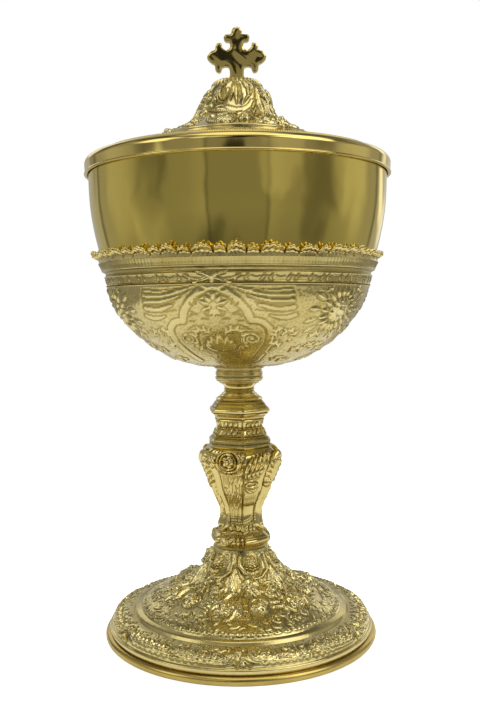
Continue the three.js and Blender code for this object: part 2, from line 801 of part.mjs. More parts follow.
add(stem, 'lower_ring', makeLowerRing(), lowerRingLevel, gilt(0xc9a94f, 0.24));
add(stem, 'knop', makeKnop(), knopLevel, gilt(0xcaa94c, 0.26));
add(stem, 'shoulder_ring', makeShoulderRing(), shoulderLevel, gilt(0xc9a94f, 0.24));
add(stem, 'stem_waist', makeWaist(), waistLevel, gilt(0xc9a94f, 0.24));
add(stem, 'upper_ring', makeUpperRing(), upperRingLevel, gilt(0xc9a94f, 0.24));
add(stem, 'neck_spool', makeNeckSpool(), neckLevel, gilt(0xc9a94f, 0.2));
add(stem, 'cup_collar', makeCupCollar(), collarLevel, gilt(0xc9a94f, 0.2));
add(stem, 'tie_rod', makeTieRod(), 0, gilt(0x9c9c98, 0.4));

add(cup, 'calyx', makeCalyx(), 0, gilt(0xcdb25c, 0.3));
add(cup, 'calyx_band', makeCalyxBand(), calyxHeight, gilt(0xcdb25c, 0.28));
add(cup, 'leaf_crest', makeLeafCrest(), calyxHeight + bandHeight, gilt(0xd2b760, 0.25));
add(cup, 'cup_bowl', makeCupBowl(), 0, gilt(0xc2a54e, 0.12));
add(cup, 'cup_boss', makeCupBoss(), 0, gilt(0xb49a55, 0.4));

add(lid, 'lid_shell', makeLidShell(), 0, gilt(0xcaae56, 0.16));
add(lid, 'lid_border', makeLidBorder(), shelfLevel, gilt(0xd2b760, 0.26));
add(lid, 'fitting_ring', makeFittingRing(), 0, gilt(0xc2a54e, 0.2));
add(lid, 'lid_dome', makeLidDome(), shelfLevel + fieldRise, gilt(0xcdb25c, 0.3));
add(lid, 'cross_finial', makeCrossFinial(), shelfLevel + fieldRise + bellHeight, gilt(0xb8953c, 0.14));
const crownUnderside = shelfLevel + fieldRise + bellHeight - bellWall;
const finialWasherLevel = crownUnderside - finialWasherThickness;
add(lid, 'finial_washer', makeWasher(finialWasherRadius, studHole, finialWasherThickness, boreSides), finialWasherLevel, gilt(0xb49a55, 0.4));
add(lid, 'finial_nut', makeNut(finialNutFlats, studHole, finialNutHeight), finialWasherLevel - finialNutHeight, gilt(0xb49a55, 0.35));

export default group;
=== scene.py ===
# %% [markdown]
# A lidded ciborium in gilt brass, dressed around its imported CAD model.
# The CAD model gives every piece its place and its size. This file gives the pieces their chased
# ornament, their mouldings and their gilding. All tables below are in millimetres, with +Z up, -Y
# to the front and the origin on the axis, in the plane that the foot stands on. Blender gets
# metres, so a length is multiplied by MM where it goes into a mesh.

# %% The frame
import json
import math

import bmesh
import bpy
import numpy as np
from mathutils import Matrix, Vector


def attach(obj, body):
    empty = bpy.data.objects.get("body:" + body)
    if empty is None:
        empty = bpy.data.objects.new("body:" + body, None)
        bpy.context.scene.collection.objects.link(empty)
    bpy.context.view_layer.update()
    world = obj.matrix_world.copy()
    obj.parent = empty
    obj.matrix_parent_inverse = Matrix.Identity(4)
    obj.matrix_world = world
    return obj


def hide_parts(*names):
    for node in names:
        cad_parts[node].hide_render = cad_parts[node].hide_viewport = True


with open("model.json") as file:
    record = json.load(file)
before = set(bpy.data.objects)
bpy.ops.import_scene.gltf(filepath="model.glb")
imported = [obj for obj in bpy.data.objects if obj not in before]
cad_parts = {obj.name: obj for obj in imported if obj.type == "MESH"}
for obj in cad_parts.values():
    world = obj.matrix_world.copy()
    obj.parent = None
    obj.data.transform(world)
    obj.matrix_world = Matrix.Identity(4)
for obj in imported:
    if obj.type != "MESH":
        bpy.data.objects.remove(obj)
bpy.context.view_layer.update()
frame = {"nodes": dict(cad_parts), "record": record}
MM = 0.001

# %% [markdown]
# The real vessel is threaded on one rod, piece on piece, so each piece stands at the height where
# the one under it ends. These heights could be typed in again, but they are read from the CAD
# solids, because two lists of the same numbers soon disagree.


# %% Levels
def span_of(node):
    """The lowest and the highest point of a CAD solid."""
    heights = [vert.co.z / MM for vert in frame["nodes"][node].data.vertices]
    return round(min(heights), 2), round(max(heights), 2)


CUP = span_of("calyx")[0]
LID = span_of("cup_bowl")[1]
print("the cup stands at", CUP, "mm and the lid at", LID, "mm")

# %% [markdown]
# The camera stands a third of a metre away, a little above the vessel's middle and tilted down by
# three degrees, so the lid's rim is seen from below and the foot from above. It
# leans by less than half a degree, as a camera in the hand does. It could be aimed with a
# constraint, but a tilt and a lean say more plainly how it was held.

# %% Camera
FOCAL_LENGTH = 42.13
CAMERA_PLACE = (0.41, -343, 132.7)
CAMERA_TILT = 3.368
CAMERA_LEAN = 0.43
camera_data = bpy.data.cameras.new("photo_camera")
camera_data.sensor_width = 36
camera_data.lens = FOCAL_LENGTH
camera_data.clip_start = 0.01
camera = bpy.data.objects.new("photo_camera", camera_data)
camera.location = [v * MM for v in CAMERA_PLACE]
tilt = Matrix.Rotation(math.radians(90 - CAMERA_TILT), 4, "X")
lean = Matrix.Rotation(math.radians(-CAMERA_LEAN), 4, "Z")
camera.rotation_euler = (tilt @ lean).to_euler()
bpy.context.scene.collection.objects.link(camera)
bpy.context.scene.camera = camera
bpy.context.scene.view_settings.view_transform = "Standard"
print("camera at", [round(v, 4) for v in camera.location])

# %% [markdown]
# Materials and the world are node trees. They could be built by hand in the editor, but a few
# small helpers keep them readable in a script: one adds a node, sets its options, and either
# links an input or gives it a value, and the others do the same for the commonest nodes.


# %% Node helpers
def add_node(tree, kind, inputs=None, **options):
    made = tree.nodes.new(kind)
    for option, value in options.items():
        setattr(made, option, value)
    for key, value in (inputs or {}).items():
        if isinstance(value, bpy.types.NodeSocket):
            tree.links.new(value, made.inputs[key])
        else:
            made.inputs[key].default_value = value
    return made


def calculate(tree, operation, *values):
    return add_node(tree, "ShaderNodeMath", dict(enumerate(values)), operation=operation).outputs[0]


def remap(tree, value, low, high, new_low=0.0, new_high=1.0, **options):
    """A value between low and high, moved to the range between new_low and new_high."""
    inputs = {0: value, 1: low, 2: high, 3: new_low, 4: new_high}
    return add_node(tree, "ShaderNodeMapRange", inputs, **options).outputs[0]


def add_noise(tree, where, scale, detail):
    return add_node(tree, "ShaderNodeTexNoise", {"Vector": where, "Scale": scale, "Detail": detail}).outputs


def add_ramp(tree, factor, stops):
    made = add_node(tree, "ShaderNodeValToRGB", {0: factor})
    while len(made.color_ramp.elements) < len(stops):
        made.color_ramp.elements.new(0.5)
    for element, (position, grey_level) in zip(made.color_ramp.elements, stops):
        element.position = position
        element.color = (grey_level, grey_level, grey_level, 1)
    return made.outputs[0]


# %% [markdown]
# Polished metal shows the room more than itself, so the room is part of the finish. It could be a
# photographed panorama, but a procedural one is made here to fit this vessel: dim towards the
# photographer, grey at the sides, with a dark gap behind the left and the right shoulder. The
# first ramp runs from the front, at 0, round both sides to the back, and the second one upwards.

# %% World
world = bpy.data.worlds.new("studio")
bpy.context.scene.world = world
world.use_nodes = True
room = world.node_tree
room.nodes.clear()
ways = add_node(room, "ShaderNodeTexCoord").outputs["Generated"]
split = add_node(room, "ShaderNodeSeparateXYZ", {0: ways}).outputs
angle = calculate(room, "ARCTAN2", split[0], calculate(room, "MULTIPLY", split[1], -1.0))
around = calculate(room, "ABSOLUTE", calculate(room, "MULTIPLY", angle, 1 / math.pi))
walls = add_ramp(room, around, [
    (0.0, 0.26), (0.117, 0.26), (0.122, 0.13), (0.126, 0.15), (0.138, 0.36), (0.2, 0.3), (0.36, 0.27),
    (0.5, 0.34), (0.6, 0.37), (0.7, 0.37), (0.72, 0.12), (0.735, 0.44), (0.86, 0.46), (1.0, 0.46),
])
heights = add_ramp(room, remap(room, split[2], -1.0, 1.0), [
    (0.0, 0.45), (0.25, 0.75), (0.4, 1.05), (0.5, 1.0), (0.62, 1.0), (0.8, 0.9), (1.0, 0.7),
])
shade = add_node(
    room, "ShaderNodeMix", {0: 1.0, 6: walls, 7: heights}, data_type="RGBA", blend_type="MULTIPLY"
)
grey = add_node(room, "ShaderNodeSeparateColor", {0: shade.outputs[2]}).outputs[0]
print("room with", len(room.nodes), "nodes")

# %% [markdown]
# Soft panels light the room, as in a photographer's tent. They could be lamps, but then every
# highlight would be as hard as its lamp. A panel here is a direction with a soft edge: the nearer
# a ray comes to it, the more light it brings. A screen is made the same way and takes light out.
# A slow noise bends the rays a little, so that no edge is straight.

# %% Panels and screens
BEND = 0.2
bent = add_noise(room, ways, 3.0, 1.0)["Color"]
sway = add_node(room, "ShaderNodeVectorMath", {0: bent, 1: (0.5, 0.5, 0.5)}, operation="SUBTRACT")
push = add_node(room, "ShaderNodeVectorMath", {0: sway.outputs[0], "Scale": BEND}, operation="SCALE")
drawn = add_node(room, "ShaderNodeVectorMath", {0: ways, 1: push.outputs[0]}, operation="ADD").outputs[0]


def panel(azimuth, elevation, core, edge, strength):
    """Full strength within core degrees of the direction, and nothing past edge degrees."""
    a, e = math.radians(azimuth), math.radians(elevation)
    way = (math.sin(a) * math.cos(e), -math.cos(a) * math.cos(e), math.sin(e))
    facing = add_node(room, "ShaderNodeVectorMath", {0: drawn, 1: way}, operation="DOT_PRODUCT")
    low, high = math.cos(math.radians(edge)), math.cos(math.radians(core))
    return remap(room, facing.outputs["Value"], low, high, 0.0, strength, interpolation_type="SMOOTHSTEP")


SCREENS = (
    (0, 26, 12, 14, 0.92), (-70, 3, 0, 20, 0.42), (66, -2, 0, 20, 0.42), (30, 60, 6, 22, 0.6),
    (-130, 30, 8, 25, 0.6), (150, 55, 8, 25, 0.7), (-20, -35, 8, 22, 0.5), (95, 35, 6, 16, 0.8),
    (-100, 65, 6, 18, 0.8),
)
PANELS = (
    (-62, 38, 8, 24, 1.35), (60, 42, 8, 24, 1.7), (0, 80, 10, 30, 1.2), (-150, 28, 6, 18, 0.8),
    (150, 20, 6, 18, 0.8), (-28, 33, 2, 14, 0.8), (96, 8, 2, 24, 0.22), (-96, 6, 2, 24, 0.12),
    (20, -48, 6, 18, 0.5), (-72, -14, 0, 20, 0.12), (34, 4, 0, 14, 0.14),
)
for screen in SCREENS:
    grey = calculate(room, "MULTIPLY", grey, calculate(room, "SUBTRACT", 1.0, panel(*screen)))
for light in PANELS:
    grey = calculate(room, "ADD", grey, panel(*light))
print(len(PANELS), "panels and", len(SCREENS), "screens")

# %% [markdown]
# The camera itself sees plain white behind the vessel, and only reflections see the room. A
# second white backdrop could stand behind it, but a switch on the kind of ray needs no room.

# %% Backdrop
studio = add_node(room, "ShaderNodeBackground", {0: (1.0, 0.99, 0.95, 1), 1: grey}).outputs[0]
plain = add_node(room, "ShaderNodeBackground", {0: (1, 1, 1, 1), 1: 1.0}).outputs[0]
is_camera = add_node(room, "ShaderNodeLightPath").outputs["Is Camera Ray"]
pick = add_node(room, "ShaderNodeMixShader", {0: is_camera, 1: studio, 2: plain})
add_node(room, "ShaderNodeOutputWorld", {0: pick.outputs[0]})
print("world with", len(room.nodes), "nodes")

# %% [markdown]
# Two soft lamps stand at the sides and one hangs overhead. They light the floor and its shadows.
# The metal could show them too, but it has the world's panels for its highlights, so the lamps
# are kept out of glossy rays.


# %% Lamps
def add_lamp(name, place, size, watts, target=(0, 0, 0.12)):
    data = bpy.data.lights.new(name, "AREA")
    data.shape = "RECTANGLE"
    data.size, data.size_y = size
    data.energy = watts
    lamp = bpy.data.objects.new(name, data)
    lamp.location = place
    lamp.rotation_euler = (Vector(target) - Vector(place)).to_track_quat("-Z", "Y").to_euler()
    lamp.visible_glossy = False
    bpy.context.scene.collection.objects.link(lamp)
    print(name, "with", watts, "W")


add_lamp("left_softbox", (-0.75, -0.45, 0.55), (0.3, 0.5), 1.45)
add_lamp("right_softbox", (0.75, -0.45, 0.6), (0.3, 0.5), 1.7)
add_lamp("top_softbox", (0, 0.1, 0.9), (0.6, 0.5), 1.7, (0, 0, 0.1))

# %% [markdown]
# The vessel stands on white paper that can't be told from the background. The paper could be a
# large plane, but a polished cup would mirror its edge, so it is a disc small enough to end
# before it would show in the cup's wall. It glows for the camera and hardly for the metal.

# %% Floor
FLOOR_RADIUS = 0.3
bm = bmesh.new()
bmesh.ops.create_circle(bm, cap_ends=True, segments=96, radius=FLOOR_RADIUS)
floor_mesh = bpy.data.meshes.new("pale_floor")
bm.to_mesh(floor_mesh)
bm.free()
floor = bpy.data.objects.new("pale_floor", floor_mesh)
bpy.context.scene.collection.objects.link(floor)
pale = bpy.data.materials.new("pale_floor")
pale.use_nodes = True
pale_shader = pale.node_tree.nodes["Principled BSDF"]
pale_shader.inputs["Base Color"].default_value = (0.9, 0.9, 0.9, 1)
pale_shader.inputs["Roughness"].default_value = 0.9
pale_shader.inputs["Emission Color"].default_value = (1, 1, 1, 1)
seen = add_node(pale.node_tree, "ShaderNodeLightPath").outputs["Is Camera Ray"]
glow = calculate(pale.node_tree, "MULTIPLY_ADD", seen, 0.7, 0.12)
pale.node_tree.links.new(glow, pale_shader.inputs["Emission Strength"])
floor_mesh.materials.append(pale)
print("floor", floor.dimensions)

# %% [markdown]
# Gilding is one metal in several states. Where a piece was polished it is a mirror with a faint
# haze. Where it was chased, the high places are bright and the hollows hold a darker, duller
# film; its darker colour is also painted shade. Each finish could have its own tree of nodes, but
# one group holds the idea for all of them: it reads how high the relief stands, with its painted
# shade, and puts out a colour, a roughness and a normal.

# %% Gilding group
gilding = bpy.data.node_groups.new("gilding", "ShaderNodeTree")
gilding_inputs = {
    "Bright": (0.8, 0.67, 0.33, 1), "Film": (0.5, 0.36, 0.12, 1), "Relief": 1.0, "Polish": 0.12, "Haze": 0.3,
    "Grain Size": 900.0, "Grain Depth": 0.2, "Wave Size": 60.0, "Wave Depth": 0.1,
}
for name, value in gilding_inputs.items():
    kind = "NodeSocketColor" if isinstance(value, tuple) else "NodeSocketFloat"
    gilding.interface.new_socket(name, in_out="INPUT", socket_type=kind).default_value = value
for name, kind in (
    ("Color", "NodeSocketColor"), ("Roughness", "NodeSocketFloat"), ("Normal", "NodeSocketVector"),
):
    gilding.interface.new_socket(name, in_out="OUTPUT", socket_type=kind)
given = add_node(gilding, "NodeGroupInput").outputs
where = add_node(gilding, "ShaderNodeTexCoord").outputs["Object"]
print("gilding group with", len(gilding_inputs), "inputs")

# %% [markdown]
# The film's colour takes over where the relief is low: a duller film, and painted shade in the
# hollows and cuts. A noise shifts that border a little, so the film ends in uneven patches, as
# it does where a cloth has rubbed it off. The same patches make the polish uneven.

# %% The film, its painted shade and the polish
patches = add_noise(gilding, where, 55.0, 3.0)[0]
clean = remap(gilding, calculate(gilding, "ADD", given["Relief"], patches), 0.6, 1.4)
mixed = add_node(
    gilding, "ShaderNodeMix", {0: clean, 6: given["Film"], 7: given["Bright"]}, data_type="RGBA"
)
dull = remap(gilding, clean, 0.0, 1.0, given["Haze"], given["Polish"])
smear = remap(gilding, patches, 0.3, 0.7, 0.8, 1.25)
rough = calculate(gilding, "MULTIPLY", dull, smear)
print("gilding group with", len(gilding.nodes), "nodes")

# %% [markdown]
# Two bumps stand for what is too small to model: the slow waves of hand-worked sheet and the fine
# grain of the ground. The raised places were burnished, so the grain fades there.

# %% Grain
WAVE_HEIGHT, GRAIN_HEIGHT = 0.001, 0.0001
grain = add_noise(gilding, where, given["Grain Size"], 2.0)[0]
wave = add_noise(gilding, where, given["Wave Size"], 1.0)[0]
coarse = calculate(
    gilding, "MULTIPLY", given["Grain Depth"], remap(gilding, given["Relief"], 0.7, 1.0, 1.0, 0.25)
)
normal = None
for noise, depth, distance in ((wave, given["Wave Depth"], WAVE_HEIGHT), (grain, coarse, GRAIN_HEIGHT)):
    bump = add_node(gilding, "ShaderNodeBump", {"Height": noise, "Strength": depth, "Distance": distance})
    if normal:
        gilding.links.new(normal, bump.inputs["Normal"])
    normal = bump.outputs[0]
add_node(gilding, "NodeGroupOutput", {0: mixed.outputs[2], 1: rough, 2: normal})
print("gilding group with", len(gilding.nodes), "nodes")


# %% [markdown]
# Each finish of the record becomes one material, which gives the group its own values. The group
# could hold the shader too, but the metal itself stays in the material, where it can be found.


# %% Materials
def gild(name, bright, film_and_shade, polish, haze, grain_size, grain_depth, wave_size, wave_depth):
    material = bpy.data.materials.new(name)
    material.use_nodes = True
    tree = material.node_tree
    relief = add_node(tree, "ShaderNodeAttribute", attribute_name="relief").outputs["Fac"]
    group = add_node(tree, "ShaderNodeGroup", {
        "Bright": (*bright, 1), "Film": (*film_and_shade, 1), "Relief": relief, "Polish": polish, "Haze": haze,
        "Grain Size": grain_size, "Grain Depth": grain_depth, "Wave Size": wave_size,
        "Wave Depth": wave_depth,
    }, node_tree=gilding)
    shader = tree.nodes["Principled BSDF"]
    shader.inputs["Metallic"].default_value = 1.0
    for output, key in (("Color", "Base Color"), ("Roughness", "Roughness"), ("Normal", "Normal")):
        tree.links.new(group.outputs[output], shader.inputs[key])
    return material


finish_values = {
    "gilt_mirror": ((0.74, 0.585, 0.14), (0.68, 0.52, 0.11), 0.09, 0.14, 700, 0.05, 150, 0.05),
    "gilt_polished": ((0.78, 0.61, 0.19), (0.5, 0.37, 0.1), 0.11, 0.3, 700, 0.06, 110, 0.05),
    "gilt_cast": ((0.77, 0.63, 0.25), (0.36, 0.27, 0.07), 0.11, 0.26, 1100, 0.25, 260, 0.12),
    "gilt_embossed": ((0.8, 0.68, 0.31), (0.42, 0.33, 0.1), 0.12, 0.34, 1300, 0.2, 300, 0.1),
    "brass_inner": ((0.66, 0.53, 0.26), (0.5, 0.38, 0.16), 0.3, 0.4, 900, 0.3, 200, 0.05),
    "steel_fastener": ((0.62, 0.62, 0.6), (0.4, 0.4, 0.38), 0.25, 0.4, 1200, 0.3, 300, 0.05),
}
finishes = {name: gild(name, *values) for name, values in finish_values.items()}
print("materials:", ", ".join(finishes))

# %% [markdown]
# Every round thing here starts as a curve beside the axis, as a turner's template does. Such
# curves could be drawn as long lists of points, but the helpers need only the few that shape
# them: one runs smoothly through them, one moves them into a rectangle, one spaces points
# evenly, one finds which way is out, and one draws an arc.


# %% Curves
def spline(points, count):
    """A smooth line of count steps through all the points."""
    p = np.array(points, float)
    t = np.linspace(0, len(p) - 1, count + 1)
    i = np.minimum(t.astype(int), len(p) - 2)
    w = (t - i)[:, None]
    a, b, c, d = p[np.maximum(i - 1, 0)], p[i], p[i + 1], p[np.minimum(i + 2, len(p) - 1)]
    m, n = (c - a) / 2, (d - b) / 2
    return ((2 * b - 2 * c + m + n) * w + (3 * c - 3 * b - 2 * m - n)) * w * w + m * w + b


def spread(shares, corner0, corner1):
    """Points given as shares of the way from one corner to the other."""
    return np.array(corner0) + np.array(shares, float) * (np.array(corner1) - np.array(corner0))


def lengths(points):
    """How far along the line each point lies."""
    return np.concatenate([[0], np.cumsum(np.hypot(*np.diff(points, axis=0).T))])


def even(points, count):
    """The same line in count steps of one length."""
    points = np.array(points, float)
    along = lengths(points)
    at = np.linspace(0, along[-1], count + 1)
    return np.stack([np.interp(at, along, column) for column in points.T], 1)


def outward(points):
    """The unit direction away from the axis, square to the line, at each point."""
    step = np.gradient(points, axis=0)
    return np.stack([step[:, 1], -step[:, 0]], 1) / np.maximum(np.hypot(*step.T), 1e-9)[:, None]


def arc(centre_r, centre_z, radius, start, end, count):
    angles = np.radians(np.linspace(start, end, count + 1))
    return [(centre_r + radius * math.cos(a), centre_z + radius * math.sin(a)) for a in angles]


print("a quarter circle in two steps:", np.round(arc(0, 0, 1, 0, 90, 2), 3).tolist())

# %% [markdown]
# A finished mesh becomes a piece in one place: it gets its smooth shading, its material, the body
# that carries it, the finish of the record and the CAD node that it stands for. Doing this piece
# by piece would be longer and easier to get wrong.

# %% Pieces
slots = {entry["node"]: entry["material_slot"] for entry in frame["record"]["subparts"]}
body_of_node = {}
for body, names in frame["record"]["behaviour"]["bodies"].items():
    for name in names:
        body_of_node[name] = body
made_pieces = []


def finish_piece(bm, node, ending, sharp=35):
    name = node + "_" + ending
    mesh = bpy.data.meshes.new(name)
    for face in bm.faces:
        face.smooth = True
    bm.to_mesh(mesh)
    bm.free()
    mesh.set_sharp_from_angle(angle=math.radians(sharp))
    mesh.materials.append(finishes[slots[node]])
    piece = bpy.data.objects.new(name, mesh)
    bpy.context.scene.collection.objects.link(piece)
    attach(piece, body_of_node[node])
    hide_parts(node)
    made_pieces.append(piece)
    print(name, len(mesh.vertices), "vertices")


# %% [markdown]
# The gilding reads the relief from an attribute on the points. A plain piece has one tone all
# over, apart from a few hollows, which are painted darker as the shade that falls in them.

# %% Relief of plain pieces
HOLLOW_SHADE, HOLLOW_WIDTH = 0.9, 0.35


def hollow_shade(heights, hollows):
    """How much painted shade each height gets from the hollows near it."""
    return sum(HOLLOW_SHADE * np.exp(-(((heights - hollow) / HOLLOW_WIDTH) ** 2)) for hollow in hollows)


def mark_relief(bm, tone=1.0, hollows=()):
    layer = bm.verts.layers.float.new("relief")
    for vert in bm.verts:
        vert[layer] = tone - hollow_shade(vert.co.z / MM, hollows)


# %% [markdown]
# The plain pieces are turned, so they are made as a lathe makes them: a wire profile gets its
# sharp corners broken by a small bevel, and a full spin sweeps it round the axis. A Screw
# modifier would give the same shape, but the operator leaves a plain mesh that can be checked.


# %% Turning
def corner_angle(vert):
    first, second = [(edge.other_vert(vert).co - vert.co).normalized() for edge in vert.link_edges]
    return math.pi - first.angle(second)


def turn(node, profile, level=None, steps=192, ease=0.15, closed=True, sharp=35, tone=1.0, hollows=()):
    """A turned piece from radii and heights over its level, which is where its CAD solid stands."""
    level = span_of(node)[0] if level is None else level
    bm = bmesh.new()
    verts = [bm.verts.new((r * MM, 0, (z + level) * MM)) for r, z in profile]
    for first, second in zip(verts, verts[1:]):
        bm.edges.new((first, second))
    if closed:
        bm.edges.new((verts[-1], verts[0]))
    corners = [v for v in bm.verts if len(v.link_edges) == 2 and v.co.x > 1e-6 and corner_angle(v) > 0.6]
    if ease:
        bmesh.ops.bevel(
            bm, geom=corners, offset=ease * MM, affect="VERTICES", segments=3, profile=0.5, material=-1,
            clamp_overlap=True,
        )
    bmesh.ops.spin(
        bm, geom=bm.verts[:] + bm.edges[:], cent=(0, 0, 0), axis=(0, 0, 1), angle=2 * math.pi,
        steps=steps, use_merge=True,
    )
    bmesh.ops.remove_doubles(bm, verts=bm.verts, dist=1e-6)
    bmesh.ops.recalc_face_normals(bm, faces=bm.faces)
    # The hollows get painted shade.
    mark_relief(bm, tone, [level + hollow for hollow in hollows])
    finish_piece(bm, node, "turned", sharp)


# %% [markdown]
# The base ring is what the vessel stands on: a rolled bead outside, and a recess on top that the
# foot's lip drops into, which shows as a dark line. It could be a torus on a flat ring, but one
# turned profile has the bead, the wall and the recess in one piece, as the real ring has.

# %% Base ring
turn("base_ring", [
    (51.6, 0.0), *arc(53.75, 1.75, 1.75, -90, 70, 12), (53.0, 3.5), (53.0, 4.3), (49.9, 4.3), (49.9, 3.1),
    (51.6, 3.1),
], steps=240, tone=0.3)

# %% [markdown]
# The cup is spun from one sheet. Its side flares to the mouth, and the same curve carries the
# calyx, the band and the crest outside it. Each of them could have a curve of its own, but then
# gaps would open between them, so the side is worked out once, finely, and kept.

# %% The bowl's side
bowl_shares = [
    (0.16, 0), (0.4, 0.034), (0.622, 0.134), (0.798, 0.283), (0.866, 0.41), (0.944, 0.612), (0.988, 0.8),
    (1, 1),
]
BOWL_FLOOR, BOWL_RADIUS, BOWL_TOP = 1.5, 59.5, 78.1
bowl_side = spline(spread(bowl_shares, (0, BOWL_FLOOR), (BOWL_RADIUS, BOWL_TOP)), 1400)
bowl_out = outward(bowl_side)


def beside_bowl(offset, low, high, count):
    """A line outside the bowl's side, or inside it, between two heights over the cup's foot."""
    points = bowl_side + offset * bowl_out
    inside = points[(points[:, 1] >= low) & (points[:, 1] <= high)]
    return even(inside, count)


def bowl_radius(z):
    return np.interp(z, bowl_side[:, 1], bowl_side[:, 0])


CALYX_TOP = 31.9
print("the bowl is", round(float(bowl_radius(CALYX_TOP)), 2), "mm in radius at the top of the calyx")

# %% [markdown]
# The bowl itself is one thin wall between that curve and a parallel one, closed by a flat rim.
# A Solidify modifier could thicken the curve, but the turned wall keeps the rim square.

# %% Bowl
BOWL_WALL = 1.0
outer = [tuple(p) for p in even(bowl_side, 60)]
inner = [tuple(p) for p in beside_bowl(-BOWL_WALL, 2.5, 76.5, 40)[::-1]]
turn(
    "cup_bowl",
    [
        (0, BOWL_FLOOR), *outer, (BOWL_RADIUS - BOWL_WALL, BOWL_TOP), *inner,
        (0, BOWL_FLOOR + BOWL_WALL),
    ],
    CUP, steps=256, ease=0, closed=False, sharp=50,
)

# %% [markdown]
# The lid's shell is spun too: a rolled lip, a rounded shoulder, a narrow shelf for the wire and a
# slow rise to the bell. The fitting ring under it holds it centred in the mouth. Both could be
# one mesh, but they are two pieces soldered together, so they stay two.

# %% Lid shell, fitting ring
shoulder = [(61.0 - 0.1 - 3 * (1 - u), 1.88 + 2.82 * v) for u, v in arc(0, 0, 1, 0, 75, 10)]
rise_shares = [(0, 0), (0.4, 0.32), (0.8, 0.75), (1, 1)]
field = [tuple(p) for p in spline(spread(rise_shares, (53.94, 5.3), (31, 12.3)), 24)]
turn("lid_shell", [
    (61.0, -2.0), (61.05, -1.7), (61.0, -1.4), (60.7, -1.2), *shoulder, (55.86, 5.3), *field, (26.4, 12.3),
    (26.4, 11.2), (field[-1][0] - 1, 11.2), (field[12][0], field[12][1] - 1.1), (56.4, 4.2), (56.4, 0),
    (59.9, 0), (59.9, -2.0),
], LID, steps=256, ease=0.12)
turn("fitting_ring", [(57, -9.2), (57.5, -9.2), (58, -8.6), (58, 0), (57, 0)], LID, steps=192, ease=0.1)

# %% [markdown]
# Under the cup sit two plain turned pieces: a collar with a fine line round it, and a waisted
# spool on top of the stem, which has two fine turned rings of its own. Their profiles could be
# plain cylinders, but the small rings catch the light and make the neck look turned.

# %% Collar, neck
ROD_BORE = 3.3
turn("cup_collar", [
    (ROD_BORE, 0), (9.3, 0), (9.75, 0.5), (9.7, 1.3), (9.3, 1.55), (9.3, 1.75), (9.65, 2.0), (9.6, 3.3),
    (9.2, 3.7), (9.2, 4.4), (10.1, 4.8), (10.1, 5.4), (6.8, 5.4), (6.8, 0.8), (ROD_BORE, 0.8),
], steps=128, ease=0.1, hollows=(0.1, 1.65, 4.1))
neck_side = spline([
    (9.6, 0), (8.9, 0.6), (8.2, 0.9), (8.0, 1.3), (7.4, 1.7), (7.2, 2.1), (6.5, 2.6), (6.0, 3.3),
    (6.35, 3.75), (6.0, 4.2), (6.3, 5.2), (7.1, 6.1), (8.0, 6.5), (8.2, 6.9), (9.2, 7.3), (9.2, 7.7),
], 75)
turn(
    "neck_spool", [(ROD_BORE, 0), *[tuple(p) for p in neck_side], (ROD_BORE, 7.7)],
    steps=128, ease=0, tone=0.9, hollows=(0.9, 3.2, 4.3, 6.6),
)

# %% [markdown]
# The chased pieces have far more detail than a profile can hold. A displacement texture could
# give it, but it would only be as sharp as its picture. Here a flat grid gets one column for each
# step round the axis and one row for each step along the profile, and is wrapped round the axis
# with its seams merged, so every stroke is real metal.


# %% Wrapping
def wrap(node, points, relief, ending="chased", sharp=60):
    """A closed piece from a table of points, column by column round the axis, and their relief."""
    columns, rows = points.shape[:2]
    bm = bmesh.new()
    bmesh.ops.create_grid(bm, x_segments=columns, y_segments=rows, size=0.5)
    mesh = bpy.data.meshes.new(node)
    bm.to_mesh(mesh)
    bm.free()
    flat = np.empty(len(mesh.vertices) * 3, np.float32)
    mesh.vertices.foreach_get("co", flat)
    i = np.rint((flat[0::3] + 0.5) * columns).astype(int) % columns
    j = np.rint((flat[1::3] + 0.5) * rows).astype(int) % rows
    mesh.vertices.foreach_set("co", (points[i, j] * MM).astype(np.float32).ravel())
    layer = mesh.attributes.new("relief", "FLOAT", "POINT")
    layer.data.foreach_set("value", relief[i, j].astype(np.float32))
    bm = bmesh.new()
    bm.from_mesh(mesh)
    bpy.data.meshes.remove(mesh)
    seam = list({vert for edge in bm.edges if edge.is_boundary for vert in edge.verts})
    bmesh.ops.remove_doubles(bm, verts=seam, dist=1e-7)
    bmesh.ops.recalc_face_normals(bm, faces=bm.faces)
    finish_piece(bm, node, ending, sharp)


def round_axis(radii, heights, azimuths):
    """Places from radii and heights, one row for each azimuth, in degrees from the front."""
    angles = np.radians(azimuths)[:, None]
    return np.stack([radii * np.sin(angles), -radii * np.cos(angles), heights + 0 * angles], -1)


# %% [markdown]
# Ornament is drawn on a chart: one sector of the surface laid flat, with its azimuths across and
# the length along the profile upwards. A chaser works the same way, from a paper pattern that is
# repeated round the vessel, turned or mirrored. Every stroke could be modelled round the axis by
# itself, but on the chart it is a short flat line, and the repeats cost nothing.


# %% Chart
RAISED = 0.02


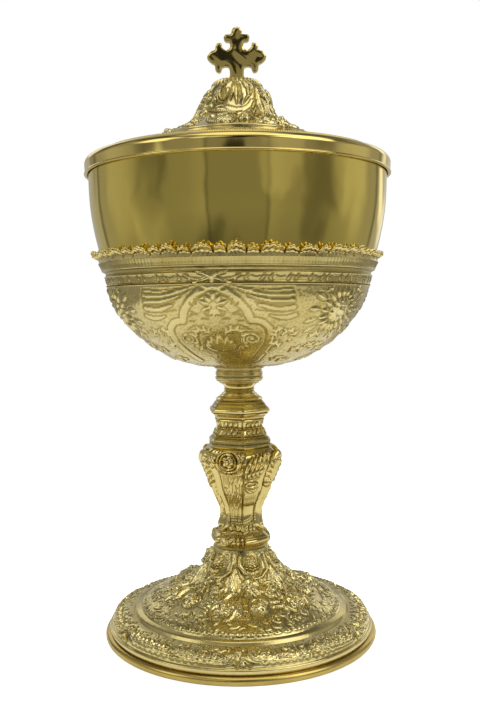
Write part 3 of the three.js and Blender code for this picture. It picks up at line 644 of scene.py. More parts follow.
class Chart:
    def __init__(self, columns, first_azimuth, repeats, profile, mirror=True):
        self.columns = columns
        self.first_azimuth = first_azimuth
        self.profile = profile
        self.along = lengths(profile)
        self.radius = profile[:, 0]
        self.period = columns // repeats
        self.mirror = mirror
        step = np.arange(columns) % self.period
        self.fold = np.minimum(step, self.period - step) if mirror else step
        self.azimuth = np.arange(self.period // 2 + 1 if mirror else self.period) * 360 / columns
        if not mirror:
            self.azimuth = self.azimuth + first_azimuth
        shape = (len(self.azimuth), len(profile))
        self.height, self.moat, self.base = np.zeros(shape), np.zeros(shape), np.zeros(shape)
        print("chart of", shape[0], "by", shape[1], "places, laid round", repeats, "times")

    def all_round(self):
        """The azimuth of every column of the whole piece."""
        return self.first_azimuth + np.arange(self.columns) * 360 / self.columns

    def level(self, z):
        """How far along the profile a height lies."""
        return float(np.interp(z, self.profile[:, 1], self.along))

    def from_axis(self, azimuth):
        """How many degrees each column lies from an azimuth, also over the chart's edge."""
        turned = self.azimuth - azimuth
        if self.mirror:
            return turned
        period = self.period * 360 / self.columns
        return np.mod(turned + period / 2, period) - period / 2

    def flat(self, azimuth, at=0.0):
        """Each place as millimetres across and along, from an azimuth and a length along the profile."""
        across = np.radians(self.from_axis(azimuth))[:, None] * self.radius[None, :]
        return across, (self.along - at)[None, :]

    def line(self, *places):
        """The centre and the points of a stroke, from azimuths and heights."""
        azimuths, heights = np.array(places, float).T
        across = np.radians(azimuths - azimuths[0]) * np.interp(heights, self.profile[:, 1], self.radius)
        along = np.interp(heights, self.profile[:, 1], self.along)
        return (azimuths[0], along[0]), list(zip(across, along - along[0]))

    def fade(self, low, high):
        """Lets the relief die away at the profile's two ends."""
        start = np.clip((self.along - self.along[0]) / low, 0, 1)
        edge = start * np.clip((self.along[-1] - self.along) / high, 0, 1)
        self.height, self.moat = self.height * edge, self.moat * edge

    def report(self, drawn):
        """Prints how much of the chart is raised once something is drawn on it."""
        print(drawn, "on the chart, which is now", round(100 * (self.height > RAISED).mean()), "% raised")

    def whole(self):
        """The raised detail, and the swellings under it, for every column."""
        detail = np.where(self.height > RAISED, self.height, self.moat)
        return detail[self.fold], self.base[self.fold]


# %% [markdown]
# The main forms of the CAD solid come first. The wall itself swells out there, as it does when it
# is beaten from behind, and the strokes are laid over it.


# %% Swellings
def swell(chart, azimuth, share, half_width, half_length, rise):
    """A round swelling, at a share of the profile's height."""
    profile = chart.profile
    z = profile[0, 1] + share * (profile[-1, 1] - profile[0, 1])
    centre = np.array([np.interp(z, profile[:, 1], profile[:, 0]), z])
    across = chart.flat(azimuth)[0] / half_width
    along = np.hypot(*(profile - centre).T)[None, :] / half_length
    chart.base += rise * np.clip(1 - across**2 - along**2, 0, None) ** 1.5


# %% [markdown]
# A stroke is a line of points with a half width at each. It could be a curve object with a bevel,
# but hundreds of those would have to be joined to the wall. So each place of the chart is asked
# how far it lies from the line, and the answer becomes a height.


# %% Places near a stroke
MARGIN = 0.9


def near(chart, centre, points, widths):
    """The part of the chart near a stroke, and how each place in it lies to the stroke."""
    points = np.array(points, float)
    fine = even(points, max(int(lengths(points)[-1] / 0.2), 3))
    share = np.linspace(0, 1, len(fine))
    wide = np.interp(share, np.linspace(0, 1, len(widths)), widths)
    reach = wide.max() + MARGIN
    v_all = chart.along - centre[1]
    rows = np.nonzero((v_all > fine[:, 1].min() - reach) & (v_all < fine[:, 1].max() + reach))[0]
    if not len(rows):
        return None
    degrees = np.degrees((np.abs(fine[:, 0]).max() + reach) / max(chart.radius[rows].min(), 1))
    off = chart.from_axis(centre[0])
    cols = np.nonzero(np.abs(off) < degrees)[0]
    if not len(cols):
        return None
    du = (np.radians(off[cols])[:, None] * chart.radius[rows][None, :])[..., None] - fine[:, 0]
    dv = np.broadcast_to(v_all[rows][None, :, None], du.shape[:2] + (1,)) - fine[:, 1]
    far = (du * du + dv * dv) / wide**2
    nearest = far.argmin(-1)
    u, v, d = [np.take_along_axis(part, nearest[..., None], -1)[..., 0] for part in (du, dv, far)]
    run = np.gradient(fine, axis=0)[nearest]
    side = np.sign(run[..., 0] * v - run[..., 1] * u)
    return np.ix_(cols, rows), np.sqrt(d), share[nearest], side, wide[nearest], wide.max()


# %% [markdown]
# A stroke is pressed into the chart, and where strokes cross, the higher one stays. The ground
# beside it is cut a little lower, as a chaser outlines a form, and its tone later paints that cut
# dark as shade, because without that dark edge the raised forms run into each other. A cut does
# the opposite and goes through what is raised.


# %% Pressing and cutting
def press(chart, centre, points, widths, height, form, moat=0.16):
    """Raises a stroke. form(d, t, s) is its section, with d from 0 on its line to 1 at its edge,
    t along it from 0 to 1, and s like d, but below 0 on its right."""
    found = near(chart, centre, points, widths)
    if not found:
        return
    block, d, share, side, wide, most = found
    inside = np.minimum(d, 1)
    bulk = 0.4 + 0.6 * wide / most
    raised = height * bulk * np.where(d < 1, form(inside, share, side * inside), 0)
    chart.height[block] = np.maximum(chart.height[block], raised)
    outside = np.where(d > 1, (d - 1) * wide, 0)
    edge = -moat * np.exp(-(((outside - 0.12) / 0.3) ** 2))
    chart.moat[block] = np.minimum(chart.moat[block], edge)


def cut(chart, centre, points, depth=0.2, half_width=0.32):
    found = near(chart, centre, points, [half_width])
    if not found:
        return
    block, d = found[:2]
    groove = np.exp(-(d**2))
    chart.height[block] = np.where(groove > 0.25, 0, chart.height[block])
    chart.moat[block] = np.minimum(chart.moat[block], -depth * groove)


def draw(chart, stroke, *rows):
    """Draws one kind of stroke several times: a row has its azimuths and heights, then its sizes."""
    for places, *sizes in rows:
        stroke(chart, *chart.line(*places), *sizes)


# %% [markdown]
# The chaser has a few punches, and this file has a few sections: a round rib, a strap with a
# groove in each half, a flat ribbon, a fluted leaf lobe that is pointed at its tip, and a bead.


# %% Ribs, straps, lobes
def rib(chart, centre, points, widths, height, moat=0.16):
    press(chart, centre, points, widths, height, lambda d, t, s: np.sqrt(1 - d * d), moat)


def strap(chart, centre, points, widths, height):
    press(
        chart, centre, points, widths, height,
        lambda d, t, s: np.minimum(1, (1 - d) / 0.3) * (1 - 0.3 * np.exp(-(((d - 0.5) / 0.13) ** 2))),
    )


def ribbon(chart, centre, points, widths, height, moat=0.2):
    press(chart, centre, points, widths, height, lambda d, t, s: np.minimum(1, (1 - d) / 0.25), moat)


def plume(chart, centre, points, width, height, flutes=2, moat=0.16):
    press(
        chart, centre, points, [width * share for share in (0.3, 0.8, 1, 0.9, 0.6, 0.12)], height,
        lambda d, t, s: (1 - d**2.6) * (0.55 + 0.45 * np.abs(np.cos(np.pi * flutes * d))), moat,
    )


def bead(chart, centre, at, radius, height):
    rib(chart, centre, [at, (at[0] + 0.02, at[1])], [radius], height)


# %% [markdown]
# Leaves and scrolls follow curved lines. A designer would draw them as splines with handles. Here
# a line is steered instead: it starts with a heading, in degrees from the chart's right, and
# turns as it goes, which is how the stem of a scroll really curls.


# %% Drawn lines
def sweep(start, heading, length, curl, ease=1.0, count=40):
    """A line that turns by curl degrees over its length, more and more towards its end when eased."""
    t = np.linspace(0, 1, count)
    bend = np.radians(heading) + np.radians(curl) * (0.25 * t + 0.75 * t**ease)
    step = length / (count - 1)
    x = start[0] + np.concatenate([[0], np.cumsum(np.cos(bend[:-1]) * step)])
    y = start[1] + np.concatenate([[0], np.cumsum(np.sin(bend[:-1]) * step)])
    return np.stack([x, y], 1)


def oval(half_width, half_length, start=0, end=360, count=40):
    angles = np.radians(np.linspace(start, end, count))
    return np.stack([half_width * np.cos(angles), half_length * np.sin(angles)], 1)


def polar(radius, heading):
    return radius * math.cos(math.radians(heading)), radius * math.sin(math.radians(heading))


print("a sweep that turns by 90 degrees ends at", np.round(sweep((0, 0), 0, 10, 90)[-1], 2))

# %% [markdown]
# A flower could be a ring of separate petals, but on the chart it is one formula of the distance
# and the direction from its heart. A second ring of petals lies over the first, and a button in
# the middle. A volute is a rib on a spiral, with a bead for its eye.


# %% Flowers and volutes
def flower(chart, centre, at, radius, height, petals, eye=0.3, rings=1):
    across, along = chart.flat(centre[0], centre[1])
    u, v = across - at[0], along - at[1]
    d = np.hypot(u, v) / radius
    angle = np.arctan2(v, u)
    raised = 0 * d
    for ring in range(rings):
        inside = d / (1 - 0.36 * ring)
        lobe = np.abs(np.cos(petals * (angle + ring * math.pi / petals) / 2)) ** 0.6
        edge = inside / (0.7 + 0.3 * lobe)
        petal = np.sqrt(np.clip(1 - edge**4, 0, 1)) * (0.3 + 0.7 * lobe) * (0.5 + 0.5 * np.minimum(inside, 1))
        raised = np.maximum(raised, np.where(edge < 1, petal * (0.7 + 0.25 * ring), 0))
    button = 0.55 + 0.45 * np.sqrt(np.clip(1 - (d / eye) ** 2, 0, 1))
    raised = np.where(d < eye * 1.2, np.where(d < eye, button, 0.25), raised)
    chart.height = np.maximum(chart.height, height * raised)
    chart.moat = np.minimum(chart.moat, -0.15 * np.clip(1 - np.abs(d - 1.05) / 0.14, 0, 1))


def volute(chart, centre, at, radius, turns, start, width, height, hand=1):
    t = np.linspace(0, 1, 50)
    angle = math.radians(start) + hand * turns * 2 * math.pi * t
    r = radius * (1 - t) ** 0.75
    spiral = np.stack([at[0] + r * np.cos(angle), at[1] + r * np.sin(angle)], 1)
    rib(chart, centre, spiral, [width, width * 0.85, width * 0.5], height)
    bead(chart, centre, at, width * 1.05, height * 1.15)


# %% [markdown]
# Two growths are used again and again: a sprig is a stem that curls into a scroll with lobes
# along it, and a spray is a tuft of lobes from one place, the middle one the longest.


# %% Sprigs and sprays
def sprig(chart, centre, start, heading, length, curl, width, height, leaves=4):
    stem = sweep(start, heading, length, curl, 2.2)
    press(
        chart, centre, stem, [width * 0.7, width, width * 0.85, width * 0.35], height,
        lambda d, t, s: np.sqrt(1 - d * d) * (0.7 + 0.3 * np.minimum(np.abs(d) / 0.35, 1)),
    )
    bead(chart, centre, tuple(stem[-1]), width * 0.9, height * 1.05)
    for number in range(leaves):
        k = int((len(stem) - 1) * (0.1 + 0.6 * number / max(leaves - 1, 1)))
        ahead = math.degrees(math.atan2(*(stem[k + 1] - stem[k])[::-1]))
        size = length * (0.36 - 0.14 * number / max(leaves, 1))
        for way in (1, -1):
            lobe = sweep(stem[k], ahead + way * 35, size, way * 45, 1.0, 8)
            plume(chart, centre, lobe, width * 1.15, height * 0.85, 1)


def spray(chart, place, heading, size, width, height, count=5, fan=110, curl=25, moat=0.16):
    centre = (place[0], chart.level(place[1]))
    for number in range(count):
        lean = (number / max(count - 1, 1) - 0.5) * fan
        long = size * (1 - 0.35 * abs(lean) / max(fan / 2, 1))
        lobe = sweep((0, 0), heading + lean, long, lean * curl / 50, 1.0, 12)
        plume(chart, centre, lobe, width, height, 1, moat)


# %% [markdown]
# The ground between the forms is worked too: crossed lines in small fields, dents from a round
# punch, seams up the castings, and short curved strokes wherever the ground is still bare. The
# dice have a fixed seed, so the ground is the same each time.


# %% Ground
def hatch(chart, centre, low, high, pitch, depth):
    """Crossed lines in a field between two corners."""
    u, v = chart.flat(centre[0], centre[1])
    lines = np.abs(np.sin(np.pi * (u + v) / pitch) * np.sin(np.pi * (u - v) / pitch))
    inside = np.clip((u - low[0]) / 0.5, 0, 1) * np.clip((high[0] - u) / 0.5, 0, 1)
    inside = inside * np.clip((v - low[1]) / 0.5, 0, 1) * np.clip((high[1] - v) / 0.5, 0, 1)
    chart.height = np.maximum(chart.height, depth * lines * inside)


def stipple(chart, seed, count, radius, depth):
    dice = np.random.default_rng(seed)
    bare = np.argwhere((chart.height < RAISED) & (chart.moat > -0.04))
    for column, row in bare[dice.integers(len(bare), size=count)]:
        cut(chart, (chart.azimuth[column], chart.along[row]), [(0, 0), (0.05, 0)], depth, radius)


def score(chart, azimuth, low, high, depth, half_width=0.28):
    """A narrow groove up the surface, as at a seam between two sides."""
    u, v = chart.flat(azimuth)
    inside = np.clip((v - low) / 0.8, 0, 1) * np.clip((high - v) / 0.8, 0, 1)
    groove = depth * np.exp(-((u / half_width) ** 2)) * inside
    chart.moat = np.minimum(chart.moat, -groove)
    chart.height = np.where(groove > 0.3 * depth, 0, chart.height)


def fill(chart, seed, spots, size, width, height, limits, clear=0.03):
    """Short curved strokes on bare ground, between two lengths along the profile."""
    dice = np.random.default_rng(seed)
    rows = np.nonzero((chart.along > limits[0]) & (chart.along < limits[1]))[0]
    for _ in range(spots):
        column = dice.integers(len(chart.azimuth))
        row = dice.choice(rows)
        heading = dice.uniform(0, 360)
        curl = dice.choice([-1, 1]) * dice.uniform(40, 200)
        length = size * dice.uniform(0.7, 1.4)
        if chart.height[column, row] > clear:
            continue
        curve = sweep((0, 0), heading, length, curl, 1.0, 12)
        place = (chart.azimuth[column], chart.along[row])
        rib(chart, place, curve, [0.1, width, 0.8 * width, 0.1], height, 0.07)


# %% [markdown]
# A chased piece is a wall. Its outside is the chart's profile moved out by the relief, its inside
# a plain line, and the two are wrapped as one closed section. The relief also sets the tone of
# the gilding: full on the highest places, less on the ground and least in the cuts, which makes
# the cuts painted shade. The inner line gets one lower tone, also painted shade.


# %% Chased walls
def tone_of(detail, top, ground):
    depth = np.clip(-detail / 0.12, 0, 1)
    above = ground + (1 - ground) * np.clip(detail / top, 0, 1)
    return np.where(detail < 0, ground - (ground + 0.3) * depth, above)


def chased(node, chart, inner, top, ground, inside=0.6, overlay=0, painted_shade=0, shape=None):
    """A wall from a chart and an inner line, with the relief on its outside."""
    detail, base = chart.whole()
    detail = detail + overlay
    height = detail + base
    out = outward(chart.profile)
    outer_r = chart.profile[None, :, 0] + height * out[None, :, 0]
    outer_z = chart.profile[None, :, 1] + height * out[None, :, 1]
    around = (chart.columns, len(inner))
    inner_r, inner_z = [np.broadcast_to(part, around) for part in np.array(inner, float).T]
    r = np.concatenate([outer_r, inner_r], 1)
    z = np.concatenate([outer_z, inner_z], 1)
    if shape:
        r, z = shape(chart.all_round()[:, None], r, z)
    # The tone paints shade in the cuts and, with one lower value, on the inner line.
    relief = np.concatenate([tone_of(detail, top, ground) - painted_shade, np.full(inner_r.shape, inside)], 1)
    wrap(node, round_axis(r, z + span_of(node)[0], chart.all_round()), relief)


# %% [markdown]
# The foot's border is a convex ring, drawn over a lip that sits in the base ring. A garland of
# leaves runs round its upper half between six ties, over a plain lower half. One sixth of it is
# drawn, from the middle of one side to the middle of the next, and laid round six times.

# %% Foot border
lip = [(53.8, 0.0), (53.8, 0.9), (53.55, 1.3), (52.75, 1.35)]
convex = [(44.5 + 8.1 * u, 1.7 + 4.6 * v) for u, v in arc(0, 0, 1, 0, 90, 60)]
border = Chart(1080, -32, 6, even([*lip, *convex], 50), mirror=False)

# %% [markdown]
# The garland has one stem on each side of the tie. Tufts of lobes grow up from both stems, and
# single leaves hang under them.

# %% Garland
draw(
    border, strap,
    (((3.2, 5.7), (5.0, 4.5), (9, 3.75), (15, 3.4), (21, 3.6), (27, 3.9)), [0.45, 0.6, 0.6, 0.35], 0.75),
    (((-6.5, 3.0), (-10, 2.9), (-15, 3.1), (-21, 3.5), (-28, 4.0)), [0.5, 0.6, 0.35], 0.6),
)
for number in range(9):
    step = 2.5 * number
    height = 4.1 + 0.2 * math.sin(number * 1.7)
    spray(border, (5.5 + step, height), 62, 3.3, 0.66, 0.9, count=4, fan=110)
    spray(border, (-7.5 - step, 3.7 + 0.1 * number), 118, 3.3, 0.66, 0.9, count=4, fan=110)
for step in range(0, 21, 3):
    draw(
        border, plume,
        (((8 + step, 3.6), (9.5 + step, 3.0), (11 + step, 3.3)), 0.5, 0.55, 1),
        (((-9 - step, 3.3), (-10.5 - step, 2.9), (-12 - step, 3.5)), 0.5, 0.55, 1),
    )
border.report("garland")

# %% [markdown]
# The tie is a flat ribbon with a notch, and two small flames. Short strokes fill what is left of
# the upper half, and the relief dies away at the lip and at the step to the dome.

# %% Tie and ground of the border
draw(
    border, strap,
    (((-7.5, 2.8), (-4.2, 4.7), (0.2, 5.4)), [0.35, 0.45, 0.3], 0.7),
    (((-1.6, 2.4), (0.8, 4.2), (3.6, 2.5)), [0.35], 0.65),
)
spray(border, (0.8, 2.6), 90, 1.5, 0.4, 0.6, count=3)
spray(border, (-1.0, 5.5), 90, 1.6, 0.5, 0.7, count=5, fan=150)
draw(border, cut, (((-5.2, 3.0), (-2.8, 4.1), (-1.8, 3.0)), 0.3, 0.5))
fill(border, 5, 110, 2.8, 0.45, 0.3, (border.level(3.3), border.level(6.26)))
border.fade(2.0, 1.0)
border.report("tie and ground")
border_inner = [
    (43.9, 5.9), (43.3, 6.85), (42.9, 7.4), (37.5, 7.4), (37.5, 6.2), (42.7, 6.2),
    *[(44.5 + 6.9 * u, 1.7 + 3.4 * v) for u, v in arc(0, 0, 1, 90, 0, 14)], (51.4, 0.0),
]
# The inner line, with the step down to the dome, is painted a little darker as shade.
chased("foot_border", border, border_inner, top=0.7, ground=0.74, inside=0.5)

# %% [markdown]
# The foot's dome sweeps up to the stem in six swells. It could be turned and carved, but the real
# one is embossed sheet, so it is a chart again. Its swellings are those of the CAD solid: a
# rosette low on each swell, a waved leaf beside it, an arch, a scroll and a cartouche.

# %% Foot dome
dome_shares = [(1, 0), (0.92, 0.095), (0.624, 0.261), (0.322, 0.427), (0.161, 0.593), (0.087, 0.759), (0, 1)]
NECK_RADIUS, DOME_RADIUS, DOME_HEIGHT = 11.2, 41, 24.1
dome_side = spline(spread(dome_shares, (NECK_RADIUS, 0), (DOME_RADIUS, DOME_HEIGHT)), 600)
dome = Chart(696, -13, 6, even(dome_side, 122), mirror=False)
for azimuth, *form in (
    (19, 0.75, 5, 5.5, 1.4), (-10, 0.62, 3.4, 7, 0.9), (15, 0.3, 5, 4.5, 1), (34, 0.42, 3.6, 4, 1),
    (-4, 0.27, 2.4, 5.5, 1),
):
    swell(dome, azimuth, *form)
print("the wall swells out by up to", round(dome.base.max(), 2), "mm")

# %% [markdown]
# The rosette is the boldest form of the foot: two rings of petals with five small leaves laid
# over them. Beside it run the waved leaves, and over it a tall leaf between two short ones.

# %% Rosettes and tall leaves
boss = (-13, float(np.interp(-29, -dome.radius, dome.along)))
flower(dome, boss, (0, 0), 4.2, 2.4, 5, rings=2)
for heading in range(20, 380, 72):
    plume(dome, boss, sweep(polar(2.0, heading), heading + 55, 2.6, 80), 0.75, 1.9, 1)
draw(
    dome, plume,
    (((-4, 9.2), (-6, 7.8), (-3.4, 6.3), (-6.4, 4.8), (-9.5, 4.0)), 1.3, 0.8, 2),
    (((0, 9.6), (-2.0, 8.0), (0.6, 6.5), (-1.6, 4.8)), 0.95, 0.9, 1),
    (((-21, 9.2), (-20, 7.6), (-23, 6.0), (-20, 4.3)), 1.1, 0.75, 2),
    (((-25, 8.2), (-26, 6.6), (-25, 4.8)), 0.8, 0.8, 1),
    (((-10, 9.6), (-11, 12.5), (-7.5, 17.8)), 2.3, 1.0, 3),
    (((-17, 10.2), (-18.5, 12.2), (-17, 15.0)), 1.2, 0.85, 2),
    (((-2.5, 10.4), (-1, 12.8), (-4.5, 15.6)), 1.2, 0.85, 2),
)
dome.report("rosettes and tall leaves")

# %% [markdown]
# Between two rosettes a second flower lies on the slope in a ring, with a hatched patch beside
# it. Above it come a small arch, a scroll with a bead, and two long leaves.

# %% Slope between the rosettes
slope_flower = (15, dome.level(7.4))
flower(dome, slope_flower, (0, 0), 3.2, 1.1, 6, rings=2)
rib(dome, slope_flower, oval(3.7, 3.7, 20, 300), [0.4], 0.7)
hatch(dome, (2.5, dome.level(5.4)), (-3.0, -2.4), (3.0, 2.0), 1.1, 0.35)
flower(dome, (9, dome.level(12.9)), (0, 0), 2.1, 0.7, 4, eye=0.1)
volute(dome, (34, dome.level(10.6)), (0, 0), 3.1, 1.3, 110, 0.75, 1.15, -1)
bead(dome, (28.5, dome.level(13.4)), (0, 0), 1.1, 1.0)
draw(
    dome, strap,
    (((4.5, 9.6), (7.5, 11.0), (12, 11.0), (15.5, 9.6)), [0.5, 0.7, 0.5], 0.9),
    (((45, 14.6), (48.5, 12.0), (50, 9.6), (45, 8.2)), [0.4, 0.7, 0.7, 0.4], 0.95),
)
draw(
    dome, plume,
    (((24, 8.0), (32, 7.5), (41, 8.6)), 0.6, 0.7, 1),
    (((24, 7.0), (32, 6.5), (41, 7.6)), 0.6, 0.7, 1),
)
dome.report("slope")

# %% [markdown]
# At the neck a cartouche hangs in a broad strap: a flower over two bars, with a smaller flower at
# its side. Thin ribs follow the strap.

# %% Cartouche
draw(
    dome, strap,
    (
        ((-1, 22), (-1.5, 18.8), (6, 16.4), (18, 15.9), (31, 16.7), (40, 19), (42, 22)),
        [0.7, 0.95, 0.7], 1.15,
    ),
)
draw(
    dome, rib,
    (((2.5, 11.6), (6, 12.4), (16, 12.2), (21, 10.2)), [0.4], 0.7),
    (((47, 21), (45, 16.6), (33, 14.5), (18, 14.1)), [0.35, 0.55, 0.4], 0.8),
    (((6, 18.2), (18, 17.4), (32, 18.2)), [0.32], 0.5),
    (((6, 19.1), (18, 18.3), (32, 19.1)), [0.32], 0.5),
)
flower(dome, (18, dome.level(20.6)), (0, 0), 2.1, 1.3, 6)
flower(dome, (32, dome.level(22.2)), (0.6, 0), 1.4, 0.9, 5)
draw(dome, plume, (((-13, 23.6), (-12, 21.2), (-10, 18.6)), 1.0, 0.7, 2))
dome.report("cartouche")

# %% [markdown]
# Low sprays and small scrolls grow in the field between, and a row of leaf tufts stands at the
# foot of the dome. Bare ground gets short strokes and then dents.

# %% Ground of the dome
for azimuth, height, heading in (
    (28, 4.6, 50), (39, 5.6, 75), (7, 3.2, 75), (-3, 2.8, 110), (51, 8.0, 80), (24, 10.4, 60),
):
    spray(dome, (azimuth, height), heading, 4.2, 0.6, 0.26, count=4, fan=95, curl=60, moat=0.07)
for azimuth, height, hand in (
    (33, 4.0, 1), (45, 4.4, -1), (24, 4.4, -1), (-22, 3.4, 1), (4, 5.6, 1), (-28, 9.8, -1),
):
    volute(dome, (azimuth, dome.level(height)), (0, 0), 2.2, 1.2, 80 * hand, 0.42, 0.3, hand)
for azimuth in np.arange(-11.5, 47, 3):
    heading = 90 + 25 * math.sin(azimuth * 3)
    spray(dome, (azimuth, 0.9), heading, 1.8, 0.42, 0.3, count=3, fan=110, moat=0.1)
fill(dome, 11, 120, 4.2, 0.5, 0.17, (2.0, 30))
stipple(dome, 23, 700, 0.42, 0.05)
dome.fade(0.9, 1.0)
dome.report("ground of the dome")

# %% [markdown]
# Under the chasing the whole dome rises and falls in six waves round the axis. That is added when
# the chart is wrapped, as one function of the azimuth, so inside and outside stay parallel.

# %% The dome's wall
WAVE = 0.5
dome_under = (dome_side - 1.2 * outward(dome_side))[(dome_side[:, 1] > 2.5) & (dome_side[:, 1] < 20)]
dome_inner = [
    (ROD_BORE, DOME_HEIGHT), (ROD_BORE, 21.9), (10.0, 21.9), *even(dome_under, 13)[::-1], (39.2, 0.0),
]


def swell_six(azimuths, r, z):
    share = np.clip((r - NECK_RADIUS) / (DOME_RADIUS - NECK_RADIUS), 0, 1)
    lobe = np.cos(np.radians(6 * (azimuths + 13)))
    return r, z + WAVE * lobe * np.sin(share * np.pi) * np.clip(z / 1.2, 0, 1)


chased("foot_dome", dome, dome_inner, top=0.7, ground=0.8, shape=swell_six)

# %% [markdown]
# The calyx is the richest piece, in low relief that is mostly line. It is a shell 1.5 mm outside
# the bowl, so its chart takes the bowl's own curve. Three frames with a pointed head and two
# round lobes stand round it. One half of one frame is drawn, and the chart mirrors it.

# %% Calyx
CALYX_OFFSET = 1.5
calyx_side = bowl_side + CALYX_OFFSET * bowl_out
calyx_r, calyx_z = calyx_side.T
calyx_side = calyx_side[(calyx_z >= 0.35) & (calyx_z <= CALYX_TOP) & (calyx_r > 11)]
calyx_edge = (float(bowl_radius(CALYX_TOP)) + CALYX_OFFSET, CALYX_TOP)
calyx = Chart(654, -10, 3, even([(9.52, 0.0), *calyx_side, calyx_edge], 132))


def on_calyx(*points):
    """The front's centre line, and points in millimetres beside it and over the table."""
    return (0, 0), [(u, calyx.level(z - CUP)) for u, z in points]


def calyx_place(azimuth, z):
    return azimuth, calyx.level(z - CUP)


# %% [markdown]
# The frame is a flat ribbon between two fine lines. Inside its head lies a star of six narrow
# leaves, with short cuts strewn round it, as a graver leaves them.

# %% Frame and star
ribbon(calyx, *on_calyx((0, 141.3), (3.2, 140.4), (8.2, 136.6), (11.4, 132.4), (12.6, 128.6)), [1.45], 0.1)
lobe_points = (12.8, 128.9), (16.2, 128.3), (18.6, 126.2), (18.9, 123.6), (17.6, 120.2), (10.6, 113.4)
ribbon(calyx, *on_calyx(*lobe_points), [1.45], 0.1)
for u, z, heading, length in (
    (1.2, 135.4, 62, 3.4), (1.6, 134.6, 22, 3.8), (1.2, 133.6, -22, 3.6), (0.5, 132.9, -64, 3.0),
    (0, 136.0, 90, 3.6), (0, 132.6, -90, 2.4),
):
    plume(calyx, calyx_place(0, z), sweep((u, 0), heading, length, 0), 0.8, 0.24, 1)
for u, z, heading, length in (
    (3.6, 138.2, -40, 2.2), (6.6, 136.4, -110, 1.8), (7.6, 134.2, 30, 1.6), (8.6, 132.2, -150, 2.2),
    (6.4, 131.2, -20, 1.8), (9.4, 130.2, 110, 1.6), (5.0, 129.4, 170, 2.4), (8.0, 128.6, -10, 1.8),
    (2.6, 130.4, 40, 1.4), (3.2, 139.9, 20, 1.2),
):
    cut(calyx, calyx_place(0, z), sweep((u, 0), heading, length, 30), 0.2, 0.36)
flower(calyx, calyx_place(0, 131.4), (0, 0), 1.2, 0.4, 5)
calyx.report("frame and star")

# %% [markdown]
# The frame's two lobes hold a palmette of fluted leaves that open from one root, with a volute
# and two sprigs beside it.

# %% Palmette
for high, low in ((126.6, 124.9), (124.4, 122.6)):
    cut(calyx, *on_calyx((5.2, high), (8.4, high + 0.5), (11.4, low + 0.6)), 0.14, 0.3)
heart = calyx_place(0, 122.4)
root = (0.4, -7.6)
for heading, length in ((90, 9.5), (62, 9.0), (36, 8.0), (10, 7.0)):
    leaf = sweep(root, heading, length, (90 - heading) * 0.9, 1.0, 12)
    plume(calyx, heart, leaf, 1.15, 0.34, 2)
volute(calyx, heart, (11.6, -0.6), 3.3, 1.7, 200, 0.5, 0.3, -1)
sprig(calyx, heart, (2.6, 2.2), 50, 9.0, -190, 0.45, 0.3, leaves=4)
sprig(calyx, heart, (6.2, -6.4), 20, 6.5, 150, 0.45, 0.3, leaves=3)
calyx.report("palmette")

# %% [markdown]
# Folds of drapery hang from each frame to the next. Each is a flat ribbon that sags a little, and
# three fine cuts lie between them.

# %% Drapery
SAG = 1.1
for start, end, widths in (
    ((6.0, 140.9), (28.6, 139.9), [0.2, 0.45, 0.5, 0.4]),
    ((9.6, 139.9), (28.9, 138.1), [0.3, 0.6, 0.7, 0.7]),
    ((12.4, 137.9), (28.9, 136.0), [0.3, 0.7, 0.8, 0.8]),
    ((16.4, 134.4), (28.9, 133.5), [0.7, 1.0, 1.1, 1.0]),
    ((19.6, 130.6), (29.6, 130.8), [0.3, 0.8, 0.9, 0.8]),
):
    way = np.linspace(0, 1, 6)
    fold = [
        (start[0] + w * (end[0] - start[0]), start[1] + w * (end[1] - start[1]) - SAG * math.sin(w * math.pi))
        for w in way
    ]
    ribbon(calyx, *on_calyx(*fold), widths, 0.11, 0.22)
for z in (139.0, 134.9, 132.2):
    cut(calyx, *on_calyx((14.5, z + 0.5), (21, z - 0.4), (28.6, z)), 0.18, 0.26)
calyx.report("drapery")

# %% [markdown]
# A sunflower stands between two frames, on the mirror's other edge. Two rings of long leaves
# spread from it towards the frame.

# %% Sunflower
sun = calyx_place(59.5, 132.3)
flower(calyx, sun, (0, 0), 5.4, 1.4, 11, eye=0.34, rings=2)
for number in range(9):
    heading = 96 + 168 * number / 8
    plume(calyx, sun, sweep(polar(6.0, heading), heading + 8, 4.0, -18), 1.15, 0.75, 1)
for number in range(6):
    heading = 133 + 112 * number / 5
    plume(calyx, sun, sweep(polar(15.6, heading), heading + 180, 5.0, 0), 1.15, 0.45, 1)
strap(calyx, calyx_place(50, 140.2), [(-1.2, -0.9), (1.2, 1.0)], [0.4], 0.6)
calyx.report("sunflower")

# %% [markdown]
# Scrolls, small flowers and a ring of short leaves fill the lower half, and the ground between
# them is stippled. The inner line follows the bowl at half a millimetre.

# %% Scrolls and ground of the calyx
for azimuth, z, heading, length, curl in (
    (31, 126.0, 200, 6, 160), (40, 123.0, 120, 8, 160), (50, 122.0, 70, 7, -180), (33, 119.0, 110, 6, 200),
    (44, 117.0, 60, 8, -200), (60, 118.0, 110, 7, 160), (36, 113.5, 80, 6, -180), (52, 113.0, 120, 6, 180),
):
    sprig(calyx, calyx_place(azimuth, z), (0, 0), heading, length, curl, 0.5, 0.45, leaves=3)
for azimuth, z, radius in ((32.6, 119.1, 1.2), (38.1, 121.4, 1.0), (28, 116.5, 1.0), (46, 125.6, 1.1)):
    flower(calyx, calyx_place(azimuth, z), (0, 0), radius, 0.5, 5)
for azimuth in range(5, 60, 10):
    plume(calyx, calyx_place(azimuth, 110.4), [(0, 0), (0, 3.0)], 0.9, 0.35, 1)
stipple(calyx, 19, 1500, 0.3, 0.05)
calyx.fade(1.5, 0.8)
calyx.report("scrolls and ground")
edge = float(bowl_radius(CALYX_TOP)) + 0.5
calyx_inner = [(edge, CALYX_TOP), *beside_bowl(0.5, 1.6, 31.2, 15)[::-1], (6.8, 1.0), (6.8, 0)]
chased("calyx", calyx, calyx_inner, top=0.9, ground=0.58)

